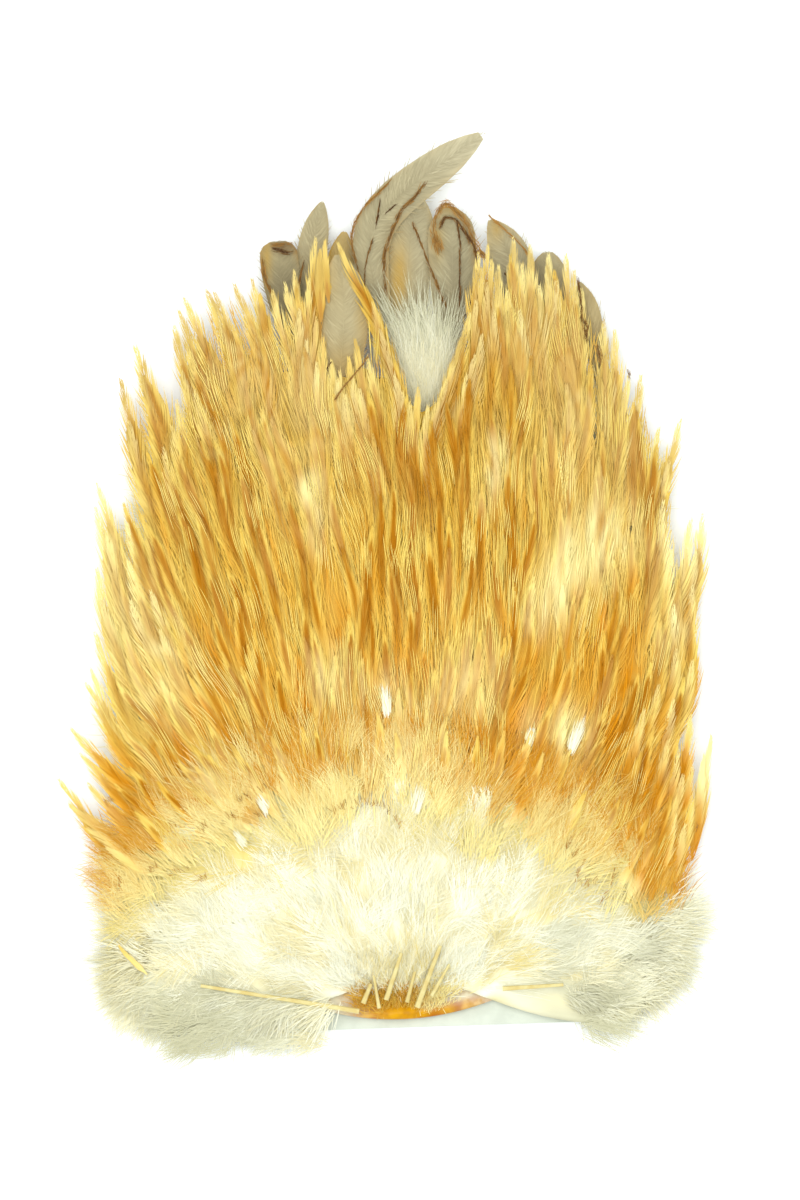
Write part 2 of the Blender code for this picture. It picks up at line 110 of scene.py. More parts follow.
# Loose tips on the outline: x, y, lean, length, half width, paleness
EDGE_TIPS = (
    (-65.7, -38.1, -34, 30, 2.3, 0.1), (-63.5, -27.7, -38, 30, 2.2, 0.3),
    (-61.5, -33.0, -44, 26, 2.0, 0.3), (-60.3, -18.7, -31, 32, 2.2, 0.3),
    (-59.2, -16.0, -24, 30, 2.0, 0.5), (-58.4, -8.5, -20, 34, 2.3, 0.2),
    (-57.9, 4.3, -12, 36, 2.4, 0.5), (-57.2, -1.0, -14, 30, 2.2, 0.3),
    (-58.4, 16.8, -17, 36, 2.4, 0.6), (-57.9, 21.5, -17, 36, 2.2, 0.7),
    (-56.0, 12.0, -15, 34, 2.4, 0.4), (-53.1, 42.4, -12, 40, 2.6, 0.4),
    (-50.3, 49.5, -15, 44, 3.0, 0.4), (-49.3, 43.5, -14, 42, 2.8, 0.2),
    (-51.5, 34.0, -13, 36, 2.5, 0.4), (-42.4, 53.2, -12, 36, 2.5, 0.4),
    (-41.5, 56.2, -20, 36, 2.4, 0.3), (-40.5, 58.7, -25, 38, 2.4, 0.3),
    (-36.1, 60.3, -24, 38, 2.4, 0.3), (-34.3, 59.7, -20, 36, 2.4, 0.5),
    (-30.3, 61.3, -20, 38, 2.4, 0.3), (-26.7, 62.3, -14, 38, 2.4, 0.4),
    (65.7, -29.0, 7, 24, 1.4, 1.3), (64.2, -33.0, 6, 22, 1.5, 1.0),
    (61.8, -14.0, 5, 34, 2.3, 0.3), (61.9, 1.0, 4, 36, 2.3, 0.3),
    (62.6, 8.0, 7, 36, 2.3, 0.4), (64.1, 15.5, 10, 38, 2.5, 0.6),
    (61.7, 14.5, 9, 36, 2.2, 0.4), (59.5, 34.3, 11, 38, 2.5, 0.5),
    (55.1, 32.5, 9, 36, 2.3, 0.5), (57.2, 26.0, 10, 36, 2.4, 0.4),
    (51.5, 43.3, 5, 34, 2.2, 0.7), (48.9, 42.9, 4, 34, 2.2, 0.5),
    (46.2, 52.3, 0, 36, 2.3, 0.6), (43.9, 54.3, -1, 36, 2.3, 0.5),
    (36.3, 67.3, -2, 38, 2.5, 0.4), (39.5, 60.5, -3, 36, 2.4, 0.4),
    (20.5, 61.5, 2, 36, 2.2, 0.3), (22.8, 65.0, 0, 38, 2.2, 0.4), (24.6, 60.0, -2, 36, 2.3, 0.4),
    (27.5, 65.5, 0, 38, 2.3, 0.4), (29.3, 67.0, -2, 38, 2.3, 0.4), (32.5, 64.5, -3, 38, 2.3, 0.4),
    (34.5, 62.0, -1, 36, 2.3, 0.4), (38.0, 64.0, 0, 36, 2.3, 0.5), (-18.0, 64.0, -2, 36, 2.2, 0.4),
    (-20.0, 61.5, -10, 36, 2.2, 0.4),
    (31.0, 61.0, -3, 36, 2.4, 0.4), (27.0, 56.0, -4, 34, 2.4, 0.4),
    (-13.7, 70.5, 6, 36, 1.9, 0.3), (-15.5, 50.0, 2, 32, 2.2, 0.3),
    (-9.5, 69.5, -20, 36, 1.7, 0.2), (-15.0, 62.3, 4, 34, 1.9, 0.3),
    (-2.5, 57.5, -15, 34, 2.2, 0.2), (-1.0, 52.0, -15, 32, 2.2, 0.3),
    (0.4, 47.5, -14, 30, 2.2, 0.3), (1.8, 43.1, -14, 28, 2.2, 0.3),
    (3.4, 39.6, -10, 26, 2.2, 0.3), (6.7, 40.5, 0, 26, 2.0, 0.1),
    (5.0, 37.5, -4, 26, 2.2, 0.3), (8.7, 36.8, 4, 26, 2.2, 0.3),
    (17.2, 55.3, 12, 34, 2.2, 0.3), (15.6, 50.5, 14, 32, 2.2, 0.3),
    (14.2, 46.5, 15, 30, 2.2, 0.3), (12.6, 42.0, 14, 28, 2.2, 0.3),
    (11.0, 38.5, 12, 26, 2.2, 0.3), (19.5, 51.0, 6, 32, 2.3, 0.3), (22.0, 56.0, 3, 34, 2.3, 0.3),
    (-17.0, 56.3, 1, 34, 2.0, 0.3), (-22.5, 60.0, -10, 34, 2.3, 0.3),
    (-42.8, 33.0, -14, 32, 2.6, 0.3), (-41.8, 38.0, -13, 34, 2.6, 0.3), (-40.8, 44.0, -12, 36, 2.6, 0.3),
    (-39.8, 49.5, -13, 36, 2.6, 0.3), (-44.5, 28.5, -15, 30, 2.6, 0.3), (-38.0, 40.0, -12, 34, 2.8, 0.2),
    (19.6, 64.5, 4, 36, 2.4, 0.2), (21.4, 66.0, 1, 36, 2.4, 0.3), (22.4, 62.0, 0, 36, 2.4, 0.2),
    (-12.3, 50.5, 0, 26, 2.2, -0.1), (-9.0, 43.6, -4, 22, 2.3, 0.0), (-6.0, 50.0, -12, 26, 2.0, -0.1),
    (-13.6, 54.5, 2, 28, 2.0, 0.0), (-10.6, 46.0, -3, 24, 2.2, 0.0), (-7.3, 46.5, -8, 24, 2.2, 0.0),
    (-11.9, 69.8, 1, 13, 1.7, 0.0), (-12.8, 68.0, 5, 15, 1.7, 0.1),
    (-53.5, -71.5, -34, 8.5, 1.3, -1.3),
    (-52.0, 14.0, -15, 34, 2.8, 0.4), (-51.5, 6.0, -15, 32, 2.8, 0.4),
    (-51.0, -2.0, -17, 30, 2.8, 0.3), (-47.0, 0.0, -19, 30, 2.6, 0.3),
    (-45.0, -8.0, -20, 28, 2.6, 0.3),
    (57.5, 8.0, 5, 34, 2.6, 0.4), (58.0, -3.0, 4, 34, 2.6, 0.4), (58.5, -12.0, 5, 30, 2.6, 0.3),
    (58.0, -22.0, 8, 26, 2.6, 0.3), (56.0, 18.0, 7, 34, 2.5, 0.5), (59.0, -32.0, 10, 24, 2.6, 0.3),
    (61.5, -25.0, 7, 28, 2.5, 0.3), (61.8, -35.0, 9, 26, 2.5, 0.2), (62.0, -42.0, 12, 20, 2.5, 0.1),
    (-9.5, 42.0, -2, 28, 2.4, 0.3), (-6.5, 42.5, -8, 28, 2.4, 0.3), (-3.6, 46.5, -14, 28, 2.0, 0.3),
    (-8.0, 39.0, -6, 26, 2.6, 0.3), (-5.0, 40.0, -8, 26, 2.6, 0.3), (-13.5, 45.5, 0, 28, 2.2, 0.3),
    (59.0, -41.0, 15, 20, 2.6, 0.2), (60.5, -47.0, 14, 15, 2.6, 0.2),
    (55.0, -19.0, 10, 26, 2.6, 0.3), (52.0, -24.0, 12, 24, 2.6, 0.3), (60.0, -37.0, 12, 22, 2.5, 0.3),
    (58.5, -45.0, 14, 18, 2.5, 0.3), (57.0, -30.0, 12, 24, 2.6, 0.3),
    (-63.8, -43.3, -52, 20, 2.3, 0.1), (-60.2, -48.0, -58, 18, 2.4, 0.1), (-56.2, -52.0, -60, 14, 2.4, 0.1),
    (-60.0, -39.0, -44, 22, 2.4, 0.1), (18.8, 67.5, 3, 36, 2.2, 0.3), (20.6, 69.0, 0, 36, 2.2, 0.3),
    (25.7, 70.5, -3, 36, 2.2, 0.6), (29.1, 69.0, -2, 36, 2.2, 0.6), (32.8, 67.5, -3, 36, 2.2, 0.6),
    (18.4, 58.0, 5, 34, 2.1, 0.3), (18.2, 47.0, 10, 30, 2.3, 0.3), (16.6, 43.0, 10, 28, 2.3, 0.3),
)

# Where the plumage is paler or more orange than the rest: x, y, radius, strength
PALE_SPOTS = np.array((
    (48.0, 11.0, 3, 0.4), (42.5, 9.5, 3.5, 0.6), (37.5, 5.0, 3, 0.8), (33.5, -1.5, 2.5, 0.9),
    (31.0, -7.0, 2, 0.6), (22.5, 29.0, 1.5, 0.6), (22.0, 22.5, 1.6, 0.6), (20.0, 17.0, 1.3, 0.3),
    (-15.0, 20.0, 1.6, 0.6), (-13.8, 13.5, 1.7, 0.6), (-13.0, 8.0, 1.3, 0.3),
    (-11.0, -17.7, 3, 0.5), (13.0, -23.0, 4, 0.25), (0.5, -21.5, 2.2, 1.0), (19.0, -17.8, 3.5, 0.45),
    (37.0, -28.5, 2.2, 1.2), (29.0, -29.0, 2.5, 0.8), (5.5, -40.5, 3, 1.0),
    (-51.5, -7.0, 5, 0.4), (-43.4, -19.0, 5, 0.4), (9.0, -30.0, 6, 0.25), (-56, 14, 6, 0.3),
    (-14, 36, 8, 0.25), (40, 34, 8, 0.25), (-30, 44, 9, 0.2), (30, 58, 8, 0.2),
    (-33, -43, 4, 0.7), (-22, -40, 3, 0.5), (-1, -42, 4, 0.4), (59.5, 9, 3.5, 0.7), (58, -8, 3, 0.4),
    (65, -37, 2.2, 1.2),
), float)
ORANGE_SPOTS = np.array((
    (-1, -2.5, 9, 0.28), (-2, -28.5, 4, 0.6), (-32.7, -25.7, 8, 0.35), (39.6, -12.4, 7, 0.35),
    (25, -36, 6, 1.2), (8, -33, 3, 0.5), (-18, -33, 4, 0.5), (58, -51, 6, 0.6),
    (57.5, -40, 3, 0.6), (52, -42, 5, 0.6), (-57, -47, 7, 0.5), (50, -36.5, 7, 0.5),
    (-23, -5, 9, 0.2), (20, 0, 9, 0.2), (47, -22, 6, 0.3), (-45, -36, 7, 0.1), (-47, -47, 5, 0.35),
), float)

# Tail coverts as the solids have them: level, half width, widest share, shaft root to tip;
# then how cream (0 grey-beige, 1 cream white) and how golden each is, and its tip's bluntness
COVERTS = (
    (2, 4.1, 0.60, ((2, 34), (1, 44), (-0.5, 51), (-1.6, 58.5), (-3.0, 66.3), (-2.0, 72.3), (1.3, 77),
                    (6, 81), (13.3, 86.4), (20.6, 91.6)), 0.3, 0.05, 4.6),
    (2, 4.9, 0.72, ((12, 36), (12.5, 50), (13.5, 60), (13.5, 70), (12.5, 77)), 0.3, 0.0, 2.8),
    (1, 4.9, 0.66, ((6.6, 37), (5.4, 50), (4.8, 62), (5.4, 72), (7.6, 78.5)), 0.5, 0.1, 2.8),
    (1, 3.9, 0.78, ((-16, 37), (-18, 47), (-20, 57), (-21, 64), (-21.5, 70)), 0.0, 0.05, 5.5),
    (0, 3.0, 0.62, ((-11, 38), (-13.5, 52), (-15, 63), (-14, 71), (-12.4, 78)), 0.4, 0.15, 2.6),
    (6, 5.0, 0.50, ((-9.8, 30), (-9.0, 42), (-8.2, 52), (-8.4, 60), (-9.6, 67)), 0.45, 0.25, 3.0),
    (1, 4.4, 0.60, ((30, 38), (28, 50), (27, 60), (24.5, 68), (20.9, 74.3)), 0.45, 0.12, 2.4),
    (0, 3.8, 0.75, ((34, 37), (33.5, 48), (33, 58), (32.8, 68)), 0.5, 0.25, 3.5),
    (1, 2.4, 0.60, ((44, 38), (42.5, 47), (41, 55), (39, 61.7)), 0.3, 0.4, 2.6),
    (1, 2.9, 0.70, ((-6.5, 37), (-8, 50), (-9, 62), (-8, 72)), 0.2, 0.6, 2.6),
)
COVERT_LOW, COVERT_STEP = 3.45, 1.35

# Stained places on the coverts: which share, x, y, their reach in x and y, strength
STAINS = (
    ("orange", 2.9, 62.0, 2.1, 8.0, 1.0), ("deep", -20.3, 68.5, 2.2, 1.2, 0.9),
    ("orange", -23.6, 66.0, 1.0, 5.0, 0.7), ("orange", 10.6, 69.5, 1.3, 4.0, 0.8),
    ("orange", 14.0, 76.0, 3.5, 1.4, 0.7), ("dusk", -19.5, 60.0, 4.0, 5.0, 0.6),
    ("orange", 19.5, 68.0, 1.4, 4.5, 0.6), ("orange", -12.0, 62.0, 3.0, 5.0, 0.4),
    ("orange", 22.5, 72.5, 1.5, 3.0, 0.7), ("dusk", 32.0, 62.0, 5.0, 7.0, 0.3),
    ("cream", 18.0, 89.0, 12.0, 9.0, 0.6), ("dusk", 14.5, 62.0, 3.5, 6.0, 0.4),
    ("orange", -8.0, 44.5, 6.0, 4.0, 0.5), ("orange", -4.3, 55.0, 1.2, 7.0, 0.5),
    ("orange", -13.5, 55.0, 1.4, 8.0, 0.5),
)

# Brown lines on the coverts and the right edge: half width, height, darkness, then x, y
LINES = (
    (0.42, 7.0, 0.6, (7.9, 80.9), (5.7, 77.9), (3.7, 76.1), (1.9, 72.5), (0.3, 67.9),
     (-0.1, 65.1), (0.3, 58.9)),
    (0.30, 7.0, 0.6, (5.7, 73.1), (7.1, 69.5), (9.1, 64.3), (10.7, 60.5), (12.1, 56.7)),
    (0.75, 7.1, 0.25, (10.3, 67.5), (9.9, 72.5), (11.1, 75.9), (12.7, 76.9), (14.7, 75.1),
     (16.7, 72.5), (18.7, 67.9), (20.3, 66.3)),
    (0.38, 7.2, 0.8, (11.3, 72.5), (12.1, 74.1), (14.1, 73.9), (15.7, 71.9), (17.1, 69.5)),
    (0.22, 7.2, 0.8, (14.5, 73.1), (15.1, 69.5), (15.1, 62.5), (15.1, 56.3)),
    (0.30, 7.2, 0.8, (16.5, 70.9), (17.9, 68.5), (18.5, 65.1), (17.9, 60.5), (17.1, 56.3)),
    (0.9, 7.1, 0.3, (10.3, 70.5), (11.1, 67.5)),
    (0.5, 5.8, 0.95, (-22.1, 67.9), (-18.9, 67.1)),
    (0.4, 5.8, 0.35, (-22.3, 68.8), (-18.7, 69.1)),
    (0.40, 5.8, 0.4, (-24.5, 65.9), (-24.1, 62.5), (-22.5, 58.5), (-20.7, 53.7)),
    (0.22, 5.8, 0.6, (-16.3, 65.1), (-16.9, 62.5), (-17.5, 59.5)),
    (0.16, 15.6, 0.4, (-3.3, 46.1), (-5.5, 43.1), (-7.9, 40.3), (-9.9, 37.5)),
    (0.28, 7.0, 0.35, (1.1, 81.5), (-1.7, 78.7), (-4.1, 76.3), (-6.3, 72.1), (-6.3, 67.5), (-3.5, 58.1)),
    (0.25, 6.0, 0.1, (21.1, 74.5), (24.3, 71.7), (28.1, 67.9), (30.0, 64.0)),
    (0.14, 7.1, 1.0, (-0.9, 77.5), (-1.7, 72.5)),
    (0.14, 7.1, 1.0, (2.3, 76.9), (0.3, 75.1)),
    (0.10, 7.1, 0.7, (-2.5, 69.5), (-3.7, 65.1), (-4.1, 59.5)),
    (0.26, 9.0, 0.75, (38.7, 62.1), (39.3, 57.5), (39.5, 53.3)),
    (0.5, 10.6, 0.7, (40.1, 53.5), (40.5, 49.5)),
    (0.7, 11.0, 0.5, (42.7, 48.5), (43.3, 45.1)),
    (0.3, 9.0, 0.6, (48.9, 43.5), (49.1, 41.9)),
    (0.16, 6.2, 0.9, (24.1, 63.1), (24.9, 61.9)),
    (0.12, 15.6, 0.9, (-10.7, 44.9), (-11.5, 43.7)),
)

# Dark bristles at the ends of broken barbs: middle x, y, half length of their row, its turn
BRISTLES = (
    (-8.5, -44.0, 2.2, 25), (-4.0, -43.3, 2.4, 0), (-0.5, -44.0, 2.0, -25), (2.5, -46.5, 1.0, -60),
    (-23.9, -40.5, 0.9, 10), (-54.9, -42.9, 0.8, 10), (37.7, -53.1, 0.9, 60),
    (38.3, -58.1, 0.8, 50), (43.5, -62.5, 1.0, 35), (62.9, -48.5, 0.7, 20), (-30.5, -46.0, 1.2, 20),
    (-35.9, -48.3, 1.0, 40), (-24.5, -45.5, 1.3, -5), (0.1, -17.9, 1.1, 0), (-52.9, -59.5, 1.3, 80),
    (36.5, -51.5, 1.4, 70), (39.0, -56.0, 1.6, 60), (41.0, -59.0, 1.8, 20), (45.5, -58.5, 1.2, 70),
    (-41.0, -57.0, 2.0, 10), (-36.0, -58.5, 1.6, -10), (-46.0, -56.5, 1.2, 20), (-27.5, -42.0, 1.8, 20),
)

# Openings where white down shows between the feathers: x, y, half width, length, whiteness
WINDOWS = (
    (0.5, -22.0, 1.3, 6.5, 1.0), (6.2, -41.5, 1.5, 6.5, 1.0), (37.2, -29.0, 1.1, 7.5, 1.0),
    (28.8, -29.2, 1.0, 3.5, 1.0), (-23.5, -42.5, 0.8, 4.0, 1.0), (-28.0, -49.5, 0.9, 4.0, 0.9),
)


# Shapes in plan and in height


def spots(x, y, table):
    """Sum of strength * exp(-far^2 / (2 radius^2)), each half as long again in Y as in X."""
    far = (x[:, None] - table[:, 0]) ** 2 + ((y[:, None] - table[:, 1]) / 1.5) ** 2
    return (table[:, 3] * np.exp(-far / (2 * table[:, 2] ** 2))).sum(-1)


def smooth(value, start, end):
    """A share from 0 at start to 1 at end, eased at both."""
    share = np.clip((value - start) / (end - start), 0, 1)
    return share * share * (3 - 2 * share)


def half_at(y):
    """Half the plumage's width, on straight lines between the table's points."""
    return np.interp(y, WIDTH_AT[:, 0], WIDTH_AT[:, 1])


def pile(x, y):
    """Height of the plumage: side height + (crown - side height) * (1 - share^2.6).

    share is the distance from the middle over the half width, 1.06 at most.
    """
    crown = np.interp(y, CROWN_AT[:, 0], CROWN_AT[:, 1])
    share = np.minimum(np.abs(x - MIDDLE_X) / half_at(y), 1.06)
    return SIDE_HEIGHT + (crown - SIDE_HEIGHT) * (1 - share**2.6)


def arch(x):
    """Y of the parabola where the saddle feathers end and the down shows."""
    return ARCH_Y - ARCH_DROP * (x / ARCH_HALF) ** 2


def seam(x, y):
    """Y of the border between the golden barbs and the down: the arch, two bays and waves."""
    bay = 6.0 * np.exp(-(((x + 31.0) / 9.0) ** 2)) + 5.0 * np.exp(-(((x + 4.0) / 9.0) ** 2))
    bay = bay - 2.5 * smooth(x, 34, 48)
    return arch(x) + bay + 8 * waves(x, y, 13, 22)


def golden_band(x, y):
    """Share of the golden band that runs down the right side, from 0 beside it to 1 in it."""
    return np.exp(-(((x - 56.5 - 0.2 * (y + 52)) / 3.6) ** 4)) * smooth(y, -72, -63)


def flow(x, y):
    """Lean of the feathers in degrees: the leans of FLOW, weighted by nearness, and a slow sway."""
    far = (x[..., None] - FLOW[:, 0]) ** 2 + (y[..., None] - FLOW[:, 1]) ** 2
    weight = np.exp(-far / (2 * FLOW_REACH**2)) + 1e-6 / (1 + far)
    return (weight * FLOW[:, 2]).sum(-1) / weight.sum(-1) + SWAY * waves(x, y / 1.5, 14, 51)


def with_flow(x, y):
    """Coordinates across and along the feathers: x, y turned by their lean."""
    lean = np.radians(flow(x, y))
    return x * np.cos(lean) - y * np.sin(lean), x * np.sin(lean) + y * np.cos(lean)


def waves(x, y, scale, seed):
    """Smooth noise in plan, about -1 to 1: the sum of seven sines, each turned its own way."""
    random = np.random.default_rng(seed)
    total = np.zeros(np.broadcast(x, y).shape)
    for _ in range(7):
        turn, phase, size = random.uniform(0, 6.28), random.uniform(0, 6.28), random.uniform(0.6, 1.6)
        across = x * math.cos(turn) + y * math.sin(turn)
        total += np.sin(across * size / scale * 6.28 + phase)
    return total / 3.5


def rays(x, y, lean, reach):
    """Points at each reach from x, y: x + sin(lean) * reach, y + cos(lean) * reach."""
    return x[:, None] + np.sin(lean) * reach, y[:, None] + np.cos(lean) * reach


def within_edges(x, y, margin):
    """Whether x, y lies inside the outline's table, at least margin from it in X."""
    left = np.interp(y, TIP_FIELD[:, 0], TIP_FIELD[:, 1])
    right = np.interp(y, TIP_FIELD[:, 0], TIP_FIELD[:, 2])
    return (x > left + margin) & (x < right - margin)


def in_gap(x, y, foot, slope, margin, middle=GAP_X):
    """Whether x, y lies in the wedge at the tail end: |x - middle| < (y - foot) * slope + margin."""
    return np.abs(x - middle) < (y - foot) * slope + margin


def beside_gap(x, y):
    """Whether x, y lies in the ellipse where the pale covert left of the gap shows."""
    return ((x + 9.0) / 6.6) ** 2 + ((y - 54) / 12.5) ** 2 < 1


def curve(knots, count):
    """Points on a smooth curve through the knots (Catmull-Rom)."""
    knots = np.array(knots, float)
    ends = np.vstack((2 * knots[0] - knots[1], knots, 2 * knots[-1] - knots[-2]))
    t = np.linspace(0, len(knots) - 1, count)
    k = np.minimum(t.astype(int), len(knots) - 2)
    f = (t - k)[:, None]
    a, b, c, d = ends[k], ends[k + 1], ends[k + 2], ends[k + 3]
    return 0.5 * (
        2 * b + (c - a) * f + (2 * a - 5 * b + 4 * c - d) * f**2 + (3 * b - a - 3 * c + d) * f**3
    )


# Meshes


def new_piece(name, made, finish, nodes):
    """A shown piece from (points, starts, loops, values) in millimetres."""
    points, starts, loops, values = made
    mesh = bpy.data.meshes.new(name)
    mesh.vertices.add(len(points))
    mesh.vertices.foreach_set("co", (points * MM).astype(np.float32).ravel())
    mesh.loops.add(len(loops))
    mesh.loops.foreach_set("vertex_index", loops.astype(np.int32))
    mesh.polygons.add(len(starts))
    mesh.polygons.foreach_set("loop_start", starts.astype(np.int32))
    mesh.polygons.foreach_set("use_smooth", np.ones(len(starts), bool))
    mesh.update(calc_edges=True)
    mesh.validate()
    for label, data in values.items():
        shares = mesh.attributes.new(label, "FLOAT", "POINT")
        shares.data.foreach_set("value", data.astype(np.float32).ravel())
    mesh.materials.append(finish)
    piece = bpy.data.objects.new(name, mesh)
    bpy.context.scene.collection.objects.link(piece)
    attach(piece, "root")
    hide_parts(*nodes)


def strips(lines, half, lift, **values):
    """Flat pointed ribbons along lines[n, k, 3] with half widths half[n, k].

    Each ribbon lies across its line. lift[n] tilts it: one edge up, the other down.
    values[n, k] are spread to its points, which are pairs in order and one at the end.
    """
    count, steps = lines.shape[:2]
    run = np.gradient(lines, axis=1)
    side = np.stack((run[..., 1], -run[..., 0], np.zeros_like(run[..., 0])), -1)
    side /= np.maximum(np.linalg.norm(side, axis=-1, keepdims=True), 1e-9)
    side[..., 2] = lift[:, None]
    pairs = np.stack((lines - side * half[..., None], lines + side * half[..., None]), 2)
    points = np.concatenate((pairs.reshape(count, steps * 2, 3)[:, :-2], lines[:, -1:]), 1)
    corner = [(2 * k, 2 * k + 1, 2 * k + 3, 2 * k + 2) for k in range(steps - 2)]
    last = 2 * (steps - 1)
    one = np.array([c for face in corner for c in face] + [last - 2, last - 1, last])
    per = points.shape[1]
    loops = (one[None] + per * np.arange(count)[:, None]).ravel()
    starts = (4 * np.arange(steps - 1)[None] + len(one) * np.arange(count)[:, None]).ravel()
    spread = {}
    for label, data in values.items():
        flat = np.broadcast_to(data, (count, steps))
        doubled = np.repeat(flat, 2, axis=1)[:, :per].copy()
        doubled[:, -1] = flat[:, -1]
        spread[label] = doubled.ravel()
    return points.reshape(-1, 3), starts, loops, spread


def grid_faces(rows, cols):
    """The points' numbers on a grid, and the four-sided faces between them."""
    index = np.arange(rows * cols).reshape(rows, cols)
    quad = np.stack((index[:-1, :-1], index[:-1, 1:], index[1:, 1:], index[1:, :-1]), -1)
    return index, quad.reshape(-1, 4)


def webs(grid, **values):
    """Open sheets from grid[n, rows, columns, 3]."""
    count, rows, cols = grid.shape[:3]
    faces = grid_faces(rows, cols)[1][None] + (rows * cols * np.arange(count))[:, None, None]
    spread = {k: np.broadcast_to(v, grid.shape[:3]).ravel() for k, v in values.items()}
    starts = np.arange(faces.size // 4) * 4
    return grid.reshape(-1, 3), starts, faces.ravel(), spread


def closed_sheet(top, low, **values):
    """A closed sheet between two grids of points: faces above, below and round the rim."""
    rows, cols = top.shape[:2]
    index, quad = grid_faces(rows, cols)
    under = quad[:, ::-1] + rows * cols
    rim = np.concatenate((index[0], index[1:, -1], index[-1, -2::-1], index[-2:0:-1, 0]))
    nxt = np.roll(rim, -1)
    wall = np.stack((nxt, rim, rim + rows * cols, nxt + rows * cols), -1)
    faces = np.concatenate((quad, under, wall))
    points = np.concatenate((top.reshape(-1, 3), low.reshape(-1, 3)))
    spread = {k: np.tile(np.broadcast_to(v, (rows, cols)).ravel(), 2) for k, v in values.items()}
    return points, np.arange(len(faces)) * 4, faces.ravel(), spread


def joined(parts):
    """Several (points, starts, loops, values) sets as one."""
    points, starts, loops, values = [], [], [], {}
    at_point = at_loop = 0
    for p, s, l, v in parts:
        points.append(p)
        starts.append(s + at_loop)
        loops.append(l + at_point)
        at_point += len(p)
        at_loop += len(l)
        for label, data in v.items():
            values.setdefault(label, []).append(data.ravel())
    return (
        np.concatenate(points), np.concatenate(starts), np.concatenate(loops),
        {label: np.concatenate(data) for label, data in values.items()},
    )


def per_row(data, grid):
    """data[n] shaped so that it goes with grid[n, ...]."""
    return data.reshape((-1,) + (1,) * (grid.ndim - 1))


def sample(table, share):
    """table[n, k, c] read at share[n, ...] of the way along k, on straight lines."""
    last = table.shape[1] - 1
    spot = np.clip(share, -0.1, 1) * last
    low = np.clip(np.floor(spot).astype(int), 0, last - 1)
    part = (spot - low)[..., None]
    row = per_row(np.arange(len(table)), share)
    return table[row, low] * (1 - part) + table[row, low + 1] * part


def trace_shafts(tip, turn, length, height, steps=15):
    """Shaft lines from tip to root: each follows the flow backwards from its tip.

    turn is each feather's own lean from the flow. Returns points[n, k, 3] and
    forward[n, k, 2].
    """
    at = tip.copy()
    points, forward = [], []
    step = length / (steps - 1)
    for k in range(steps):
        lean = np.radians(flow(at[:, 0], at[:, 1]) + turn * (1 - 0.5 * k / steps))
        way = np.stack((np.sin(lean), np.cos(lean)), -1)
        points.append(at.copy())
        forward.append(way)
        at = at - way * step[:, None]
    back = np.linspace(0, 1, steps)[None] * length[:, None]
    plan = np.stack(points, 1)
    z = height(plan[..., 0], plan[..., 1], back)
    return np.concatenate((plan, z[..., None]), -1), np.stack(forward, 1)


def place(shafts, forward, length, back, out, camber):
    """Points at distance back from the tip and out to the side of each shaft.

    The vane bends down to its edges: z is the shaft's z less camber * out^2 / 3.
    """
    share = back / per_row(length, back)
    spine, ahead = sample(shafts, share), sample(forward, share)
    x = spine[..., 0] + ahead[..., 1] * out
    y = spine[..., 1] - ahead[..., 0] * out
    z = spine[..., 2] - camber * out**2 / 3
    return np.stack((x, y, z), -1)


